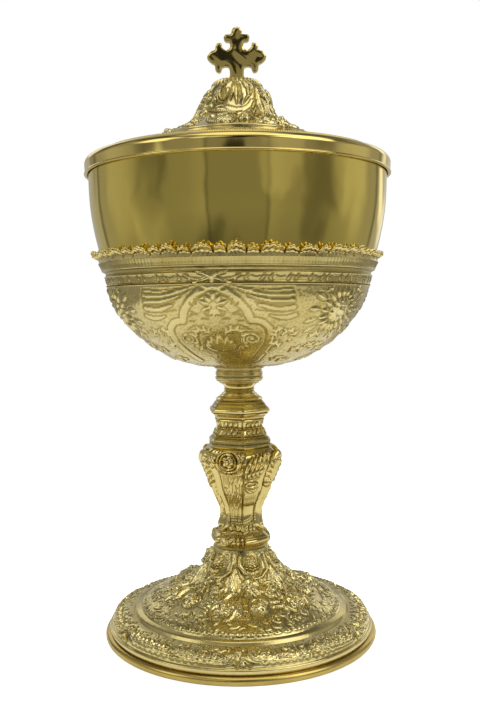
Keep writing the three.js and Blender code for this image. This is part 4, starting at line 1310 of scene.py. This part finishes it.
# %% [markdown]
# The crest is a gallery of curled leaf tufts over the calyx, a large one of five lobes and a
# small one of three by turns. Each tuft could be a leaf of its own, but the real crest is one
# cast strip, so two curves round the axis describe it: how high it stands and how far each lobe
# stands out. A slow wave keeps the tufts from being all alike.

# %% Tufts of the crest
# A lobe has its centre and its half width in degrees, and its height as a share.
TUFT_PAIRS = 28
PAIR = 360 / TUFT_PAIRS
LOBES = (
    (0, 1.6, 1.0), (-1.8, 1.3, 0.9), (1.8, 1.3, 0.87), (-3.1, 0.8, 0.66), (3.1, 0.8, 0.68),
    (6.43, 1.4, 0.88), (4.9, 1.0, 0.74), (7.95, 1.0, 0.72),
)


def tufts(azimuths):
    """The height and the lobes at each azimuth, in shares, and the fine ribs on the lobes."""
    slow, fast = np.sin(np.radians(5 * azimuths + 60)), np.sin(np.radians(13 * azimuths))
    azimuths = azimuths + 0.7 * slow + 0.5 * fast
    top, ridge = np.full(len(azimuths), 0.3), np.zeros(len(azimuths))
    for centre, half_width, high in LOBES:
        away = np.mod(azimuths - centre + PAIR / 2, PAIR) - PAIR / 2
        top = np.maximum(top, 0.3 + (high - 0.3) * np.clip(1 - (away / half_width) ** 2, 0, 1) ** 0.45)
        ridge = np.maximum(ridge, np.clip(1 - (away / (0.75 * half_width)) ** 2, 0, 1) ** 0.5)
    fine = 0.5 + 0.5 * np.cos(np.radians(azimuths * TUFT_PAIRS * 9))
    return top, ridge, fine


def uneven(dice, azimuths, count, low, high):
    """A random value at each of count azimuths, and what lies between them."""
    values = np.resize(dice.uniform(low, high, count), count + 1)
    return np.interp(azimuths, np.linspace(0, 360, count + 1), values)


crest_azimuths = np.arange(1344) * 360 / 1344
tuft, ridge, fine = tufts(crest_azimuths)
dice = np.random.default_rng(31)
tuft = tuft * uneven(dice, crest_azimuths, 84, 0.76, 1.0)
curl = uneven(dice, crest_azimuths, 112, 0.5, 1.2)
print("tufts between", round(tuft.min(), 2), "and", round(tuft.max(), 2), "of the full height")

# %% [markdown]
# The section of a leaf goes up the outside, over a rolled head and down the inside. Each column
# of the strip gets that section at its own height, with the head pushed out on a lobe and held
# back between two lobes, and all of it follows the flare of the bowl.

# %% Leaf crest
CREST_HEIGHT = 5.4
section = spline([
    (1.5, 0), (1.45, 0.2), (1.5, 0.4), (1.7, 0.52), (2.3, 0.58), (3.1, 0.66), (3.6, 0.79), (3.3, 0.92),
    (2.4, 1.0), (1.4, 0.95), (0.8, 0.75), (0.4, 0.4), (0.35, 0),
], 46)
body = np.clip(section[:, 1], 0, 1)
rise = body[None, :] * CREST_HEIGHT * tuft[:, None]
outside = np.arange(len(section)) < 34
head = np.clip(section[:, 0] - 1.2, 0, 3) * (body > 0.5)
step_out = section[None, :, 0] + head[None, :] * (curl[:, None] * ridge[:, None] - 1.1) * 0.85
valley = (0.55 * (1 - ridge) + 0.12 * (1 - fine))[:, None] * np.clip(body * 2 - 0.1, 0, 1) * outside
step_out = np.maximum(step_out - valley, 0.36)
crest_floor = span_of("leaf_crest")[0]
crest_r = bowl_radius(crest_floor - CUP + rise) + step_out
# The tone is painted shade: dark under the rolled head, darker in the gaps between the lobes and darker on
# the inner side, which faces the bowl.
undercut_shadow = 0.75 * np.exp(-(((body - 0.52) / 0.1) ** 2))
tone = 0.9 + (ridge[:, None] - 0.75) * 1.2 * body[None, :] - undercut_shadow[None, :]
tone = np.clip(tone * np.where(outside, 1, 0.8)[None, :], 0, 1)
wrap("leaf_crest", round_axis(crest_r, rise + crest_floor, crest_azimuths), tone, "cast")

# %% [markdown]
# A band closes the calyx: a double line, a fascia with short leaf strokes and crossed ribbons, a
# dark hollow, and a cove with the ribs of the crest's leaves. The steps could be separate rings,
# but they were rolled in one strip, so they are the profile of one chart.

# %% Calyx band
BAND_HEIGHT = 9.5
band_steps = [
    (0, 1.7), (0.03, 1.8), (0.055, 1.5), (0.08, 1.8), (0.11, 1.45), (0.13, 1.15), (0.4, 1.15),
    (0.425, 1.4), (0.455, 1.1), (0.48, 0.65), (0.56, 0.5), (0.63, 0.6), (0.655, 1.3), (0.69, 1.55),
    (0.72, 1.4), (0.86, 1.4), (1, 1.7),
]
band_z = np.linspace(0, 1, 72)
band_r = bowl_radius(CALYX_TOP + BAND_HEIGHT * band_z) + np.interp(band_z, *np.array(band_steps).T)
band = Chart(1080, -10, 3, np.stack([band_r, BAND_HEIGHT * band_z], 1))
dice = np.random.default_rng(21)
for number in range(11):
    at = 8 + number * 5.0 + dice.uniform(-1.2, 1.2)
    lean = dice.uniform(-0.8, 0.8)
    plume(band, (at, band.level(1.3)), [(0, 0), (lean, 1.2), (0.9 + lean, 2.5)], 0.4, 0.25, 1)
    cut(band, (at + 1.6, band.level(1.5)), [(0, 1.9), (1.6, 1.5 + 0.3 * lean), (3.0, 1.7)], 0.15, 0.25)
knot = (0, band.level(0.9))
for way in (-1, 1):
    strap(band, knot, [(way * 6.5, -0.3), (0, 2.0), (-way * 5.4, 4.3)], [0.5], 0.42)
strap(band, knot, [(1.0, 2.3), (3.8, 0.9), (7.2, 1.4), (10, 2.6)], [0.35, 0.5, 0.2], 0.35)
plume(band, (0, band.level(0.6)), [(0, 0), (0, 3.2)], 0.9, 0.4, 1)
band.report("leaf strokes and ribbons")

# %% [markdown]
# Two lines run round the band, and above the hollow the ribs of the leaves go on into the cove.
# The cove is painted a little darker than the fascia, as the shade under the crest.

# %% The band's wall
lines = -0.2 * np.exp(-(((band_z - 0.055) / 0.012) ** 2)) - 0.2 * np.exp(-(((band_z - 0.56) / 0.06) ** 2))
band.moat = np.minimum(band.moat, lines[None, :])
_, ridge, fine = tufts(band.all_round())
leafy = (ridge * 0.1 + fine * 0.16)[:, None] * np.clip((band_z - 0.68) / 0.2, 0, 1)[None, :]
cove_shade = 0.35 * np.clip((band_z - 0.68) / 0.1, 0, 1)
band_inner = [(float(bowl_radius(CALYX_TOP + z)) + 0.35, z) for z in (BAND_HEIGHT, 7, 4.5, 2, 0)]
chased("calyx_band", band, band_inner, top=1.0, ground=0.55, overlay=leafy, painted_shade=cove_shade)

# %% [markdown]
# The lid's bell has the same chasing as the foot, on a sweep from a wide flare to a rounded
# crown, and more plain ground shows between the strokes. Its swellings are again those of the CAD
# solid, and one third of it is drawn.

# %% Lid dome
bell_shares = [
    (1, 0.033), (0.7, 0.182), (0.46, 0.331), (0.355, 0.496), (0.29, 0.661), (0.2235, 0.826), (0.13, 0.95),
    (0, 1),
]
BELL_RADIUS, BELL_NECK, BELL_HEIGHT = 31, 5.5, 24.2
bell_side = spline(spread(bell_shares, (BELL_NECK, 0), (BELL_RADIUS, BELL_HEIGHT)), 600)
bell = Chart(720, -84, 3, even([(BELL_RADIUS, 0), *bell_side], 118), mirror=False)
for azimuth, *form in (
    (38, 0.5, 3, 8.5, 1.1), (-23, 0.72, 3.4, 4.5, 0.8), (9, 0.66, 3.8, 5.5, 0.9), (-16, 0.18, 8, 4.2, 1),
    (7, 0.16, 3.6, 3, 0.8),
):
    swell(bell, azimuth, *form)

# %% [markdown]
# A tall strap climbs the bell and ends in a volute over each of three leaf bosses, with long ribs
# behind it. A narrow loop hangs from the crown, with a slot in it and lobes on its left.

# %% Straps and loops of the bell
draw(
    bell, strap,
    (((44, 19.4), (37, 18.4), (33.5, 15), (32.5, 11.5), (34.5, 8), (30, 5)), [0.5, 0.8, 0.9, 0.9, 0.6], 0.9),
    (
        ((-30, 10.4), (-16, 10.0), (-2, 8.9), (8, 9.3), (17, 10.8), (25, 13.4)),
        [0.5, 1.1, 1.25, 1.1, 0.6], 0.4,
    ),
    (((-13, 7.0), (-22, 6.4), (-27, 4.6), (-23, 2.9), (-15, 2.2)), [0.5, 0.9, 0.9, 0.5], 0.95),
)
volute(bell, (43, bell.level(16.4)), (0.4, 0), 2.1, 1.35, 150, 0.5, 0.95, -1)
for azimuth in (40, 45, 51):
    behind = (azimuth, 14), (azimuth + 1, 11), (azimuth - 1, 8), (azimuth - 4, 5.6)
    draw(bell, rib, (behind, [0.25, 0.5, 0.45, 0.3], 0.85))
loop = (-23, bell.level(16.8))
strap(bell, loop, oval(1.7, 3.1, 100, 380), [0.45], 0.85)
rib(bell, loop, oval(2.9, 4.4, 120, 265), [0.35], 0.7)
cut(bell, loop, [(0.1, -1.2), (0, 1.4)], 0.25, 0.6)
for place in ((-33, 17.5), (-38, 15), (-43, 12.6), (-50, 10.5), (-52, 16), (-60, 13)):
    spray(bell, place, 235, 3.6, 0.55, 0.75, count=3, fan=70)
bell.report("straps and loops")

# %% [markdown]
# Prongs hang from the crown between the loops. Under them lie a plain crescent and a cartouche
# with a hatched field, and a small volute stands at its right.

# %% Prongs, crescent and cartouche
draw(
    bell, plume,
    (((-8, 21), (-7, 17), (-11, 13.2)), 0.6, 0.8, 1), (((-2, 21), (-2.4, 16), (-0.5, 11.6)), 0.75, 0.8, 1),
    (((4.5, 20.4), (4.2, 17), (5.4, 14)), 0.5, 0.8, 1),
    (((13, 20.6), (20, 18), (19, 15), (10, 12)), 0.55, 0.8, 1),
    (((27, 20.4), (27, 18), (24, 15.6)), 0.5, 0.8, 1),
)
for height in (11.6, 9.8, 8.2):
    draw(bell, plume, (((28, height), (24, height - 0.9), (20, height - 2.2)), 0.55, 0.75, 1))
draw(
    bell, rib,
    (((50, 19.5), (54, 17), (57, 13.5), (60, 9.5)), [0.3, 0.5, 0.3], 0.8),
    (((-44, 10.0), (-30, 9.1), (-18, 8.3), (-4, 7.4), (5, 7.3)), [0.25, 0.4, 0.25], 0.75),
    (((-4, 6.2), (-1.5, 4), (-4, 1.8)), [0.4], 0.7),
    (((0, 6.6), (6, 7.4), (13, 6.2), (16, 3.4)), [0.3, 0.45, 0.3], 0.75),
)
hatch(bell, (-11, bell.level(4.2)), (-3.4, -2.4), (3.4, 2.4), 1.2, 0.3)
for azimuth, height, heading in ((-17, 5.2, 320), (-11, 5.8, 280), (-7, 4.6, 250), (-12, 2.4, 80)):
    spray(bell, (azimuth, height), heading, 2.4, 0.45, 0.65, count=2, fan=50)
volute(bell, (7, bell.level(3.8)), (0, 0), 2.6, 1.4, 60, 0.5, 0.9)
bell.report("prongs, crescent and cartouche")

# %% [markdown]
# The leaf boss is a double flower with eight leaves round it. Sprays grow over the flare, short
# leaves hang under the crown, and the wall is closed along a line 1.2 mm inside.

# %% Leaf boss and the bell's wall
lid_boss = (36, bell.level(2.4))
flower(bell, lid_boss, (0, 0), 4.2, 2.9, 5, rings=2)
for heading in (100, 135, 170, 205, 240, 60, 20, -20):
    plume(bell, lid_boss, sweep(polar(3.6, heading), heading, 4.2, -40), 1.0, 1.1, 2)
for azimuth, height, heading in (
    (62, 6, 120), (66, 3, 80), (-72, 8, 100), (-60, 8, 60), (-50, 5.6, 240), (-40, 5, 250),
    (-36, 2.4, 230), (-46, 2.4, 60), (18, 2, 100), (24, 5, 60), (20, 1.6, 30), (64, 10, 80),
    (-66, 11, 110), (60, 18, 260), (-68, 18, 300), (-8, 1.6, 100),
):
    spray(bell, (azimuth, height), heading, 3.0, 0.55, 0.7, count=3, fan=90)
for azimuth in range(-80, 36, 10):
    draw(bell, plume, (((azimuth, 23.6), (azimuth, 22.4), (azimuth + 3, 21.2)), 0.5, 0.5, 1))
bell.fade(1.0, 1.2)
bell.report("leaf boss and sprays")
bell_under = bell_side - 1.2 * outward(bell_side)
bell_under = bell_under[(bell_under[:, 1] > 0.3) & (bell_under[:, 1] < 21.5) & (bell_under[:, 0] > 5.6)]
bell_inner = [(2.2, BELL_HEIGHT), (2.2, 23.0), (BELL_NECK, 23.0), *even(bell_under, 13)[::-1], (28.6, 0.0)]
chased("lid_dome", bell, bell_inner, top=0.8, ground=0.8)

# %% [markdown]
# A fine milled wire lies on the shelf of the lid. It could be four hundred small spheres in a
# ring, but a wire that is pinched between its beads is one closed piece with far fewer faces.

# %% Lid border
BEADS, WIRE_RADIUS, WIRE_RING = 400, 0.8, 54.9
wire_azimuths = np.arange(BEADS * 5) * 360 / (BEADS * 5)
pinch = 0.74 + 0.26 * np.abs(np.sin(np.radians(wire_azimuths) * BEADS / 2)) ** 0.8
over = np.radians(np.linspace(-6, 186, 10))
wire_r = WIRE_RING + WIRE_RADIUS * pinch[:, None] * np.cos(over)[None, :]
wire_z = np.clip(WIRE_RADIUS * pinch[:, None] * np.sin(over)[None, :], 0, WIRE_RADIUS)
# The wire's tone follows the pinch, so it is painted darker between the beads, as shade.
wire_shade_tone = np.broadcast_to(pinch[:, None], wire_r.shape)
wire = round_axis(wire_r, wire_z + span_of("lid_border")[0], wire_azimuths)
wrap("lid_border", wire, wire_shade_tone, "milled")

# %% [markdown]
# The stem's castings are six-sided. They could start as six-sided prisms, but their corners are
# soft, and the sides bulge at the mouldings. A hexagon with soft corners is a circle whose radius
# dips towards the middle of each side, so a casting starts as a turned form and is drawn in.


# %% Hexagonal castings
CORNER = 7


def hexagon(azimuths, flatness, softness):
    """The share of the full radius at each azimuth: 1 all round for a flatness of 0."""
    total = 0
    for shift in (-1, -0.5, 0, 0.5, 1):
        from_corner = np.mod(azimuths + shift * softness - CORNER, 60)
        total = total + math.cos(math.radians(30)) / np.cos(np.radians(from_corner - 30))
    return 1 - flatness + flatness * total / 5


def cast(node, chart, flatness, softness=3.0, ground=0.75, hollows=()):
    """A casting from a chart, with a bore for the rod, and painted shade in its hollows."""
    detail, base = chart.whole()
    side = chart.profile
    share = hexagon(chart.all_round(), flatness, softness)[:, None]
    height = detail + base
    out = outward(side)
    bore = np.full((chart.columns, 1), ROD_BORE)
    r = np.concatenate([(side[None, :, 0] + height * out[None, :, 0]) * share, bore, bore], 1)
    z = side[None, :, 1] + height * out[None, :, 1]
    z = np.concatenate([z, bore * 0 + side[-1, 1], bore * 0 + side[0, 1]], 1)
    tone = tone_of(detail, max(detail.max(), 0.3), ground) - hollow_shade(side[:, 1], hollows)
    tone = np.concatenate([tone, bore * 0 + 0.3, bore * 0 + 0.3], 1)
    wrap(node, round_axis(r, z + span_of(node)[0], chart.all_round()), tone, "cast", 40)


def plain_chart(profile, count):
    return Chart(240, CORNER, 1, even(profile, count), mirror=False)


# %% [markdown]
# The lower ring hides the joint between the foot and the knop. Leaves are wrapped round its bead
# on every other side, and a smooth rib under a fine line lies on the sides between.

# %% Lower ring
lower_side = even([(10.9, 0), (10.6, 0.8), *arc(10.7, 3.57, 1.9, -70, 70, 14), (10.1, 5.9), (9.9, 6.5)], 40)
lower = Chart(480, -53, 3, lower_side, mirror=False)
draw(
    lower, plume,
    (((-50, 1.8), (-38, 2.4), (-24, 3.8), (-12, 5.2)), 1.5, 0.9, 3),
    (((-44, 3.6), (-34, 4.6), (-22, 5.6)), 0.8, 0.8, 1),
)
draw(lower, rib, (((12, 3.6), (36, 3.4), (58, 3.6)), [0.7, 0.9, 0.7], 0.55))
draw(lower, cut, (((12, 5.2), (58, 5.2)), 0.2, 0.3))
for azimuth in (-6, 4):
    draw(lower, plume, (((azimuth, 5.9), (azimuth + 2, 3.6), (azimuth - 1, 1.4)), 0.9, 0.9, 2))
score(lower, CORNER, 0, 7, 0.25)
lower.fade(0.4, 0.4)
cast("lower_ring", lower, 0.6, hollows=(0.2, 6.2))

# %% [markdown]
# The shoulder ring and the upper ring are plain mouldings of fine fillets and hollows. They use
# the same function with nothing drawn on their charts.

# %% Shoulder ring, upper ring
shoulder_side = [
    (13.0, 0), (13.3, 0.3), (13.6, 0.72), (13.6, 1.6), (13.0, 1.8), (13.0, 2.05), (13.6, 2.3), (13.6, 3.15),
    (13.0, 3.5), (12.6, 3.96), (12.1, 4.1), (12.1, 4.5),
]
upper_side = [
    (11.2, 0), (11.6, 0.6), (12.6, 1.3), (12.4, 1.7), (13.1, 2.0), (13.3, 2.6), (13.1, 3.2), (12.2, 3.7),
    (12.1, 4.1), (11.4, 4.9), (11.1, 5.4), (10.7, 5.7), (10.3, 6.2), (9.9, 6.4), (9.9, 7.0),
]
cast("shoulder_ring", plain_chart(shoulder_side, 48), 0.7, hollows=(0, 1.9, 4.1))
cast("upper_ring", plain_chart(upper_side, 70), 0.7, hollows=(0.2, 1.65, 3.9, 5.3, 6.4))

# %% [markdown]
# The knop is the part that the hand holds: a six-sided vase. It could be sculpted, but its sides
# repeat in threes, so one third is drawn on a chart, from one corner to the next but one.

# %% Knop
knop_shares = [
    (0.14, 0), (0, 0.17), (0.03, 0.3), (0.4, 0.49), (0.64, 0.65), (0.95, 0.82), (1, 0.87), (0.93, 0.94),
    (0.6, 1),
]
knop_side = spline(spread(knop_shares, (8.7, 0), (17, 34.7)), 400)
knop = Chart(600, -53, 3, even(knop_side, 148), mirror=False)

# %% [markdown]
# Three of its corners carry a console: a broad fluted strap with a curled head between two
# volutes, a small scroll half-way down, and feathers on both sides.

# %% Consoles
spine = [(-53, height) for height in (3.4, 9, 15, 21, 26, 30)]
press(
    knop, *knop.line(*spine), [3.3, 3.0, 3.1, 3.5, 4.1, 3.8], 1.3,
    lambda d, t, s: np.minimum(1, (1 - d) / 0.12) * (0.6 + 0.4 * np.cos(3 * np.pi * d)), 0.3,
)
draw(knop, rib, (((-61, 31.4), (-53, 32.4), (-45, 31.4)), [1.2, 1.6, 1.2], 1.7))
volute(knop, (-61, knop.level(20.4)), (0, 0), 1.8, 1.1, 90, 0.6, 1.9)
volute(knop, (-45, knop.level(29.2)), (0, 0), 2.1, 1.2, 120, 0.6, 1.6, -1)
volute(knop, (-63, knop.level(29.4)), (0, 0), 2.1, 1.2, 60, 0.6, 1.6)
for number in range(4):
    high, low = 20.5 + 2.1 * number, 6.5 + 3.3 * number
    draw(
        knop, plume,
        (((-56, high), (-51, high + 1.4), (-47, high + 3.6)), 0.85, 1.7, 1),
        (((-61, high), (-66, high + 1.4), (-69, high + 3.6)), 0.85, 1.7, 1),
        (((-46, low), (-49, low + 1.6), (-48, low + 3.4)), 0.6, 1.4, 1),
    )
knop.report("consoles")

# %% [markdown]
# The face beside it holds a flower in a double ring, with leaves at both sides and along the top
# edge. Below it the whole face is covered with fine upright reeds and small leaves.

# %% Medallion and reeds
for azimuth in (-46, -40, -34, -3, 3):
    draw(knop, plume, (((azimuth, 31.2), (azimuth + 1, 32.8), (azimuth + 3, 34.2)), 0.9, 1.1, 1))
medal = (-18, knop.level(30.2))
for wide, half_width in ((4.9, 0.5), (3.5, 0.32)):
    rib(knop, medal, oval(wide, wide * 0.84), [half_width], 1.2)
flower(knop, medal, (0, 0), 2.7, 1.6, 5, rings=2)
rib(knop, medal, oval(7.0, 5.5, 205, 335), [0.3], 0.6)
draw(
    knop, plume,
    (((-3.5, 26.6), (-1.0, 29.6), (2.5, 32.8)), 1.3, 1.3, 2),
    (((-35, 26.8), (-36, 29.2), (-33, 31.2)), 0.9, 1.0, 1),
)
dice = np.random.default_rng(4)
for azimuth in np.arange(-31, 3, 3.6):
    reed = [(azimuth + lean, height) for lean, height in zip(dice.uniform(-1.6, 1.6, 4), (24, 18, 12, 5.2))]
    draw(knop, rib, (reed, [0.1, 0.3, 0.34, 0.15], 0.2, 0.07))
    for _ in range(3):
        at = dice.uniform(6, 22)
        small_leaf = (azimuth, at), (azimuth + 1.5, at + 0.9), (azimuth + 2.5, at + 2.2)
        draw(knop, plume, (small_leaf, 0.42, 0.35, 1, 0.08))
knop.report("medallion and reeds")

# %% [markdown]
# The other face has a fan of bold feathers, and under it a small eye between two crescents, a
# hatched patch and a smooth panel between cut lines, with a row of beads at its edge. A seam runs
# up the plain corner.

# %% Feathers and panel
for number in range(5):
    azimuth, height = 8 + 8.0 * number, 26.0 + 0.4 * number
    feather = (azimuth, height), (azimuth + 5, height + 3.2), (azimuth + 12, height + 6.4)
    under = (azimuth + 2, height - 0.4), (azimuth - 1, height - 1.8), (azimuth - 2, height - 3.4)
    draw(knop, plume, (feather, 1.0, 1.7, 1), (under, 0.75, 0.6, 1))
eyelet = (23, knop.level(20.4))
rib(knop, eyelet, oval(2.7, 1.0), [0.36], 0.5)
plume(knop, eyelet, [(-1.6, 0), (0, 0.2), (1.6, 0)], 0.5, 0.5, 1)
draw(knop, plume, (((9, 19.2), (18, 17.7), (29, 17.5), (39, 18.8)), 0.7, 0.6, 2))
draw(knop, rib, (((9, 23.0), (17, 22.2), (27, 22.4), (36, 23.2)), [0.2, 0.4, 0.2], 0.35))
hatch(knop, (24, knop.level(14.3)), (-3.2, -2.4), (3.2, 2.4), 0.95, 0.3)
draw(
    knop, cut,
    (((8, 11.4), (44, 11.4)), 0.25, 0.3), (((44, 11.4), (45, 6.8)), 0.3, 0.3),
    (((9, 4.6), (28, 5.2), (45, 6.8)), 0.3, 0.35),
)
for height in np.arange(5.4, 17, 1.0):
    bead(knop, (48.5, knop.level(height)), (0, 0), 0.36, 0.4)
score(knop, 6, knop.level(4.6), knop.level(29.4), 0.4)
knop.report("feathers and panel")

# %% [markdown]
# A ring of small leaves closes the knop at its foot. The casting keeps its corners a little
# sharper than the rings do.

# %% Foot of the knop
for azimuth, heading in ((-22, 110), (-4, 95), (3, 60)):
    spray(knop, (azimuth, 1.2), heading, 3.2, 0.75, 1.0, count=4, fan=100)
for azimuth in (16, 28, 40):
    draw(knop, plume, (((azimuth, 1.0), (azimuth + 1, 2.4), (azimuth + 4, 3.6)), 0.8, 0.6, 1))
knop.fade(0.6, 1.0)
cast("knop", knop, 0.75, softness=2.5, ground=0.78)

# %% [markdown]
# The waist between the two upper rings has two rows of small upright leaves, held between
# fillets. All six sides are alike, so the chart holds only one.

# %% Waist
MIDDLE = 37
waist = Chart(480, -53, 6, even(spline([(11.8, 0), (9.5, 4), (10.9, 8)], 60), 56), mirror=False)
for number in range(3):
    upper, under = 2.3 * number, 2.4 * number
    plume(waist, (MIDDLE, 4.7), [(-2.6 + upper, 0), (-2.0 + upper, 2.5)], 0.8, 0.7, 1)
    plume(waist, (MIDDLE, 1.5), [(-3.2 + under, 0), (-1.6 + under, 2.1)], 0.85, 0.8, 1)
for length in (0.8, 4.1, 7.6):
    rib(waist, (MIDDLE, length), [(-4.6, 0), (4.6, 0)], [0.3], 0.45)
score(waist, CORNER, 0, 8, 0.35)
waist.fade(0.5, 0.4)
cast("stem_waist", waist, 0.5, ground=0.7)

# %% [markdown]
# The cross is a flat casting with a hand-finished face. Its outline could be an extruded curve,
# but then both faces would be dead flat. Here the outline is one face, pushed to its thickness,
# and parallel cuts give both faces enough points to swell.

# %% Cross
CROSS_THICKNESS, CROSS_REACH, CROSS_HEIGHT = 2.4, 11.8, 21
SIDEWAYS, UPWARDS, CUT_PITCH = 0, 2, 0.5
cross_outline = [
    (0, 1), (0.11, 0.976), (0.17, 0.92), (0.2, 0.865), (0.38, 0.85), (0.435, 0.79), (0.37, 0.735),
    (0.25, 0.72), (0.215, 0.655), (0.26, 0.585), (0.38, 0.565), (0.485, 0.62), (0.52, 0.69), (0.61, 0.7),
    (0.7, 0.66), (0.735, 0.575), (0.87, 0.54), (1, 0.435), (0.87, 0.34), (0.75, 0.3), (0.72, 0.2),
    (0.62, 0.155), (0.535, 0.175), (0.49, 0.24), (0.38, 0.265), (0.26, 0.24), (0.235, 0.15), (0.24, 0),
]
cross_floor = span_of("lid_dome")[1]
half = spline(np.array(cross_outline) * (CROSS_REACH, CROSS_HEIGHT), 120)
corners = np.array([*half, *(half[:0:-1] * (-1, 1))])
bm = bmesh.new()
front_y = -CROSS_THICKNESS / 2 * MM
face = bm.faces.new([bm.verts.new((x * MM, front_y, (z + cross_floor) * MM)) for x, z in corners])
pushed = bmesh.ops.extrude_face_region(bm, geom=[face])["geom"]
pushed = [part for part in pushed if isinstance(part, bmesh.types.BMVert)]
bmesh.ops.translate(bm, verts=pushed, vec=(0, CROSS_THICKNESS * MM, 0))
bmesh.ops.triangulate(bm, faces=[f for f in bm.faces if len(f.verts) > 10])
for axis, low, high in ((SIDEWAYS, -11.6, 11.6), (UPWARDS, 224.6, 245.0)):
    for at in np.arange(low, high, CUT_PITCH):
        normal = Vector((0, 0, 0))
        normal[axis] = 1
        parts = [*bm.verts, *bm.edges, *bm.faces]
        bmesh.ops.bisect_plane(bm, geom=parts, dist=1e-6, plane_co=normal * at * MM, plane_no=normal)
bmesh.ops.recalc_face_normals(bm, faces=bm.faces)
print("cross cut into", len(bm.faces), "faces")

# %% [markdown]
# A point of the face rises with its distance from the outline, so the edge is rounded, and soft
# dents are left over it, as a file leaves them. The stud below goes through the bell to its nut.

# %% The cross's faces and stud
EDGE_RISE, DENT = 0.28, 0.3
places = np.array([v.co for v in bm.verts]) / MM
gaps = np.full(len(places), 9.0)
for end, run in zip(corners, np.roll(corners, -1, 0) - corners):
    to_place = places[:, [0, 2]] - (0, cross_floor) - end
    share = np.clip(to_place @ run / (run @ run), 0, 1)
    gaps = np.minimum(gaps, np.hypot(*(to_place - share[:, None] * run).T))
x, z = places[:, 0], places[:, 2]
dents = np.sin(x * 0.42 + 0.9 * np.sin(z * 0.3)) * np.cos(z * 0.4 + x * 0.2)
swells = EDGE_RISE * (1 - np.exp(-((gaps / 0.4) ** 2))) + DENT * dents * np.clip((gaps - 0.3) / 2, 0, 1)
for vert, place, swollen in zip(bm.verts, places, swells):
    vert.co.y += math.copysign(swollen * MM, place[1])
stud_floor, stud_length = span_of("cross_finial")[0], 6.4
stud = bmesh.ops.create_cone(
    bm, cap_ends=True, segments=32, radius1=1.9 * MM, radius2=1.9 * MM, depth=stud_length * MM
)
bmesh.ops.translate(bm, verts=stud["verts"], vec=(0, 0, (stud_floor + stud_length / 2) * MM))
mark_relief(bm)
finish_piece(bm, "cross_finial", "cast", 50)

# %% [markdown]
# The hidden hardware keeps its CAD mesh and gets a real finish: dull turned brass for the plate,
# the boss and the lid's nut, plain steel for the rod and its nut. New meshes could replace it,
# but nobody sees it, and its solids are already round.

# %% Hidden hardware
for name in ("foot_plate", "foot_washer", "foot_nut", "tie_rod", "cup_boss", "finial_washer", "finial_nut"):
    hidden = frame["nodes"][name].data
    hidden.materials.clear()
    hidden.materials.append(finishes[slots[name]])
print(len(made_pieces), "pieces made,", sum(len(piece.data.polygons) for piece in made_pieces), "faces")
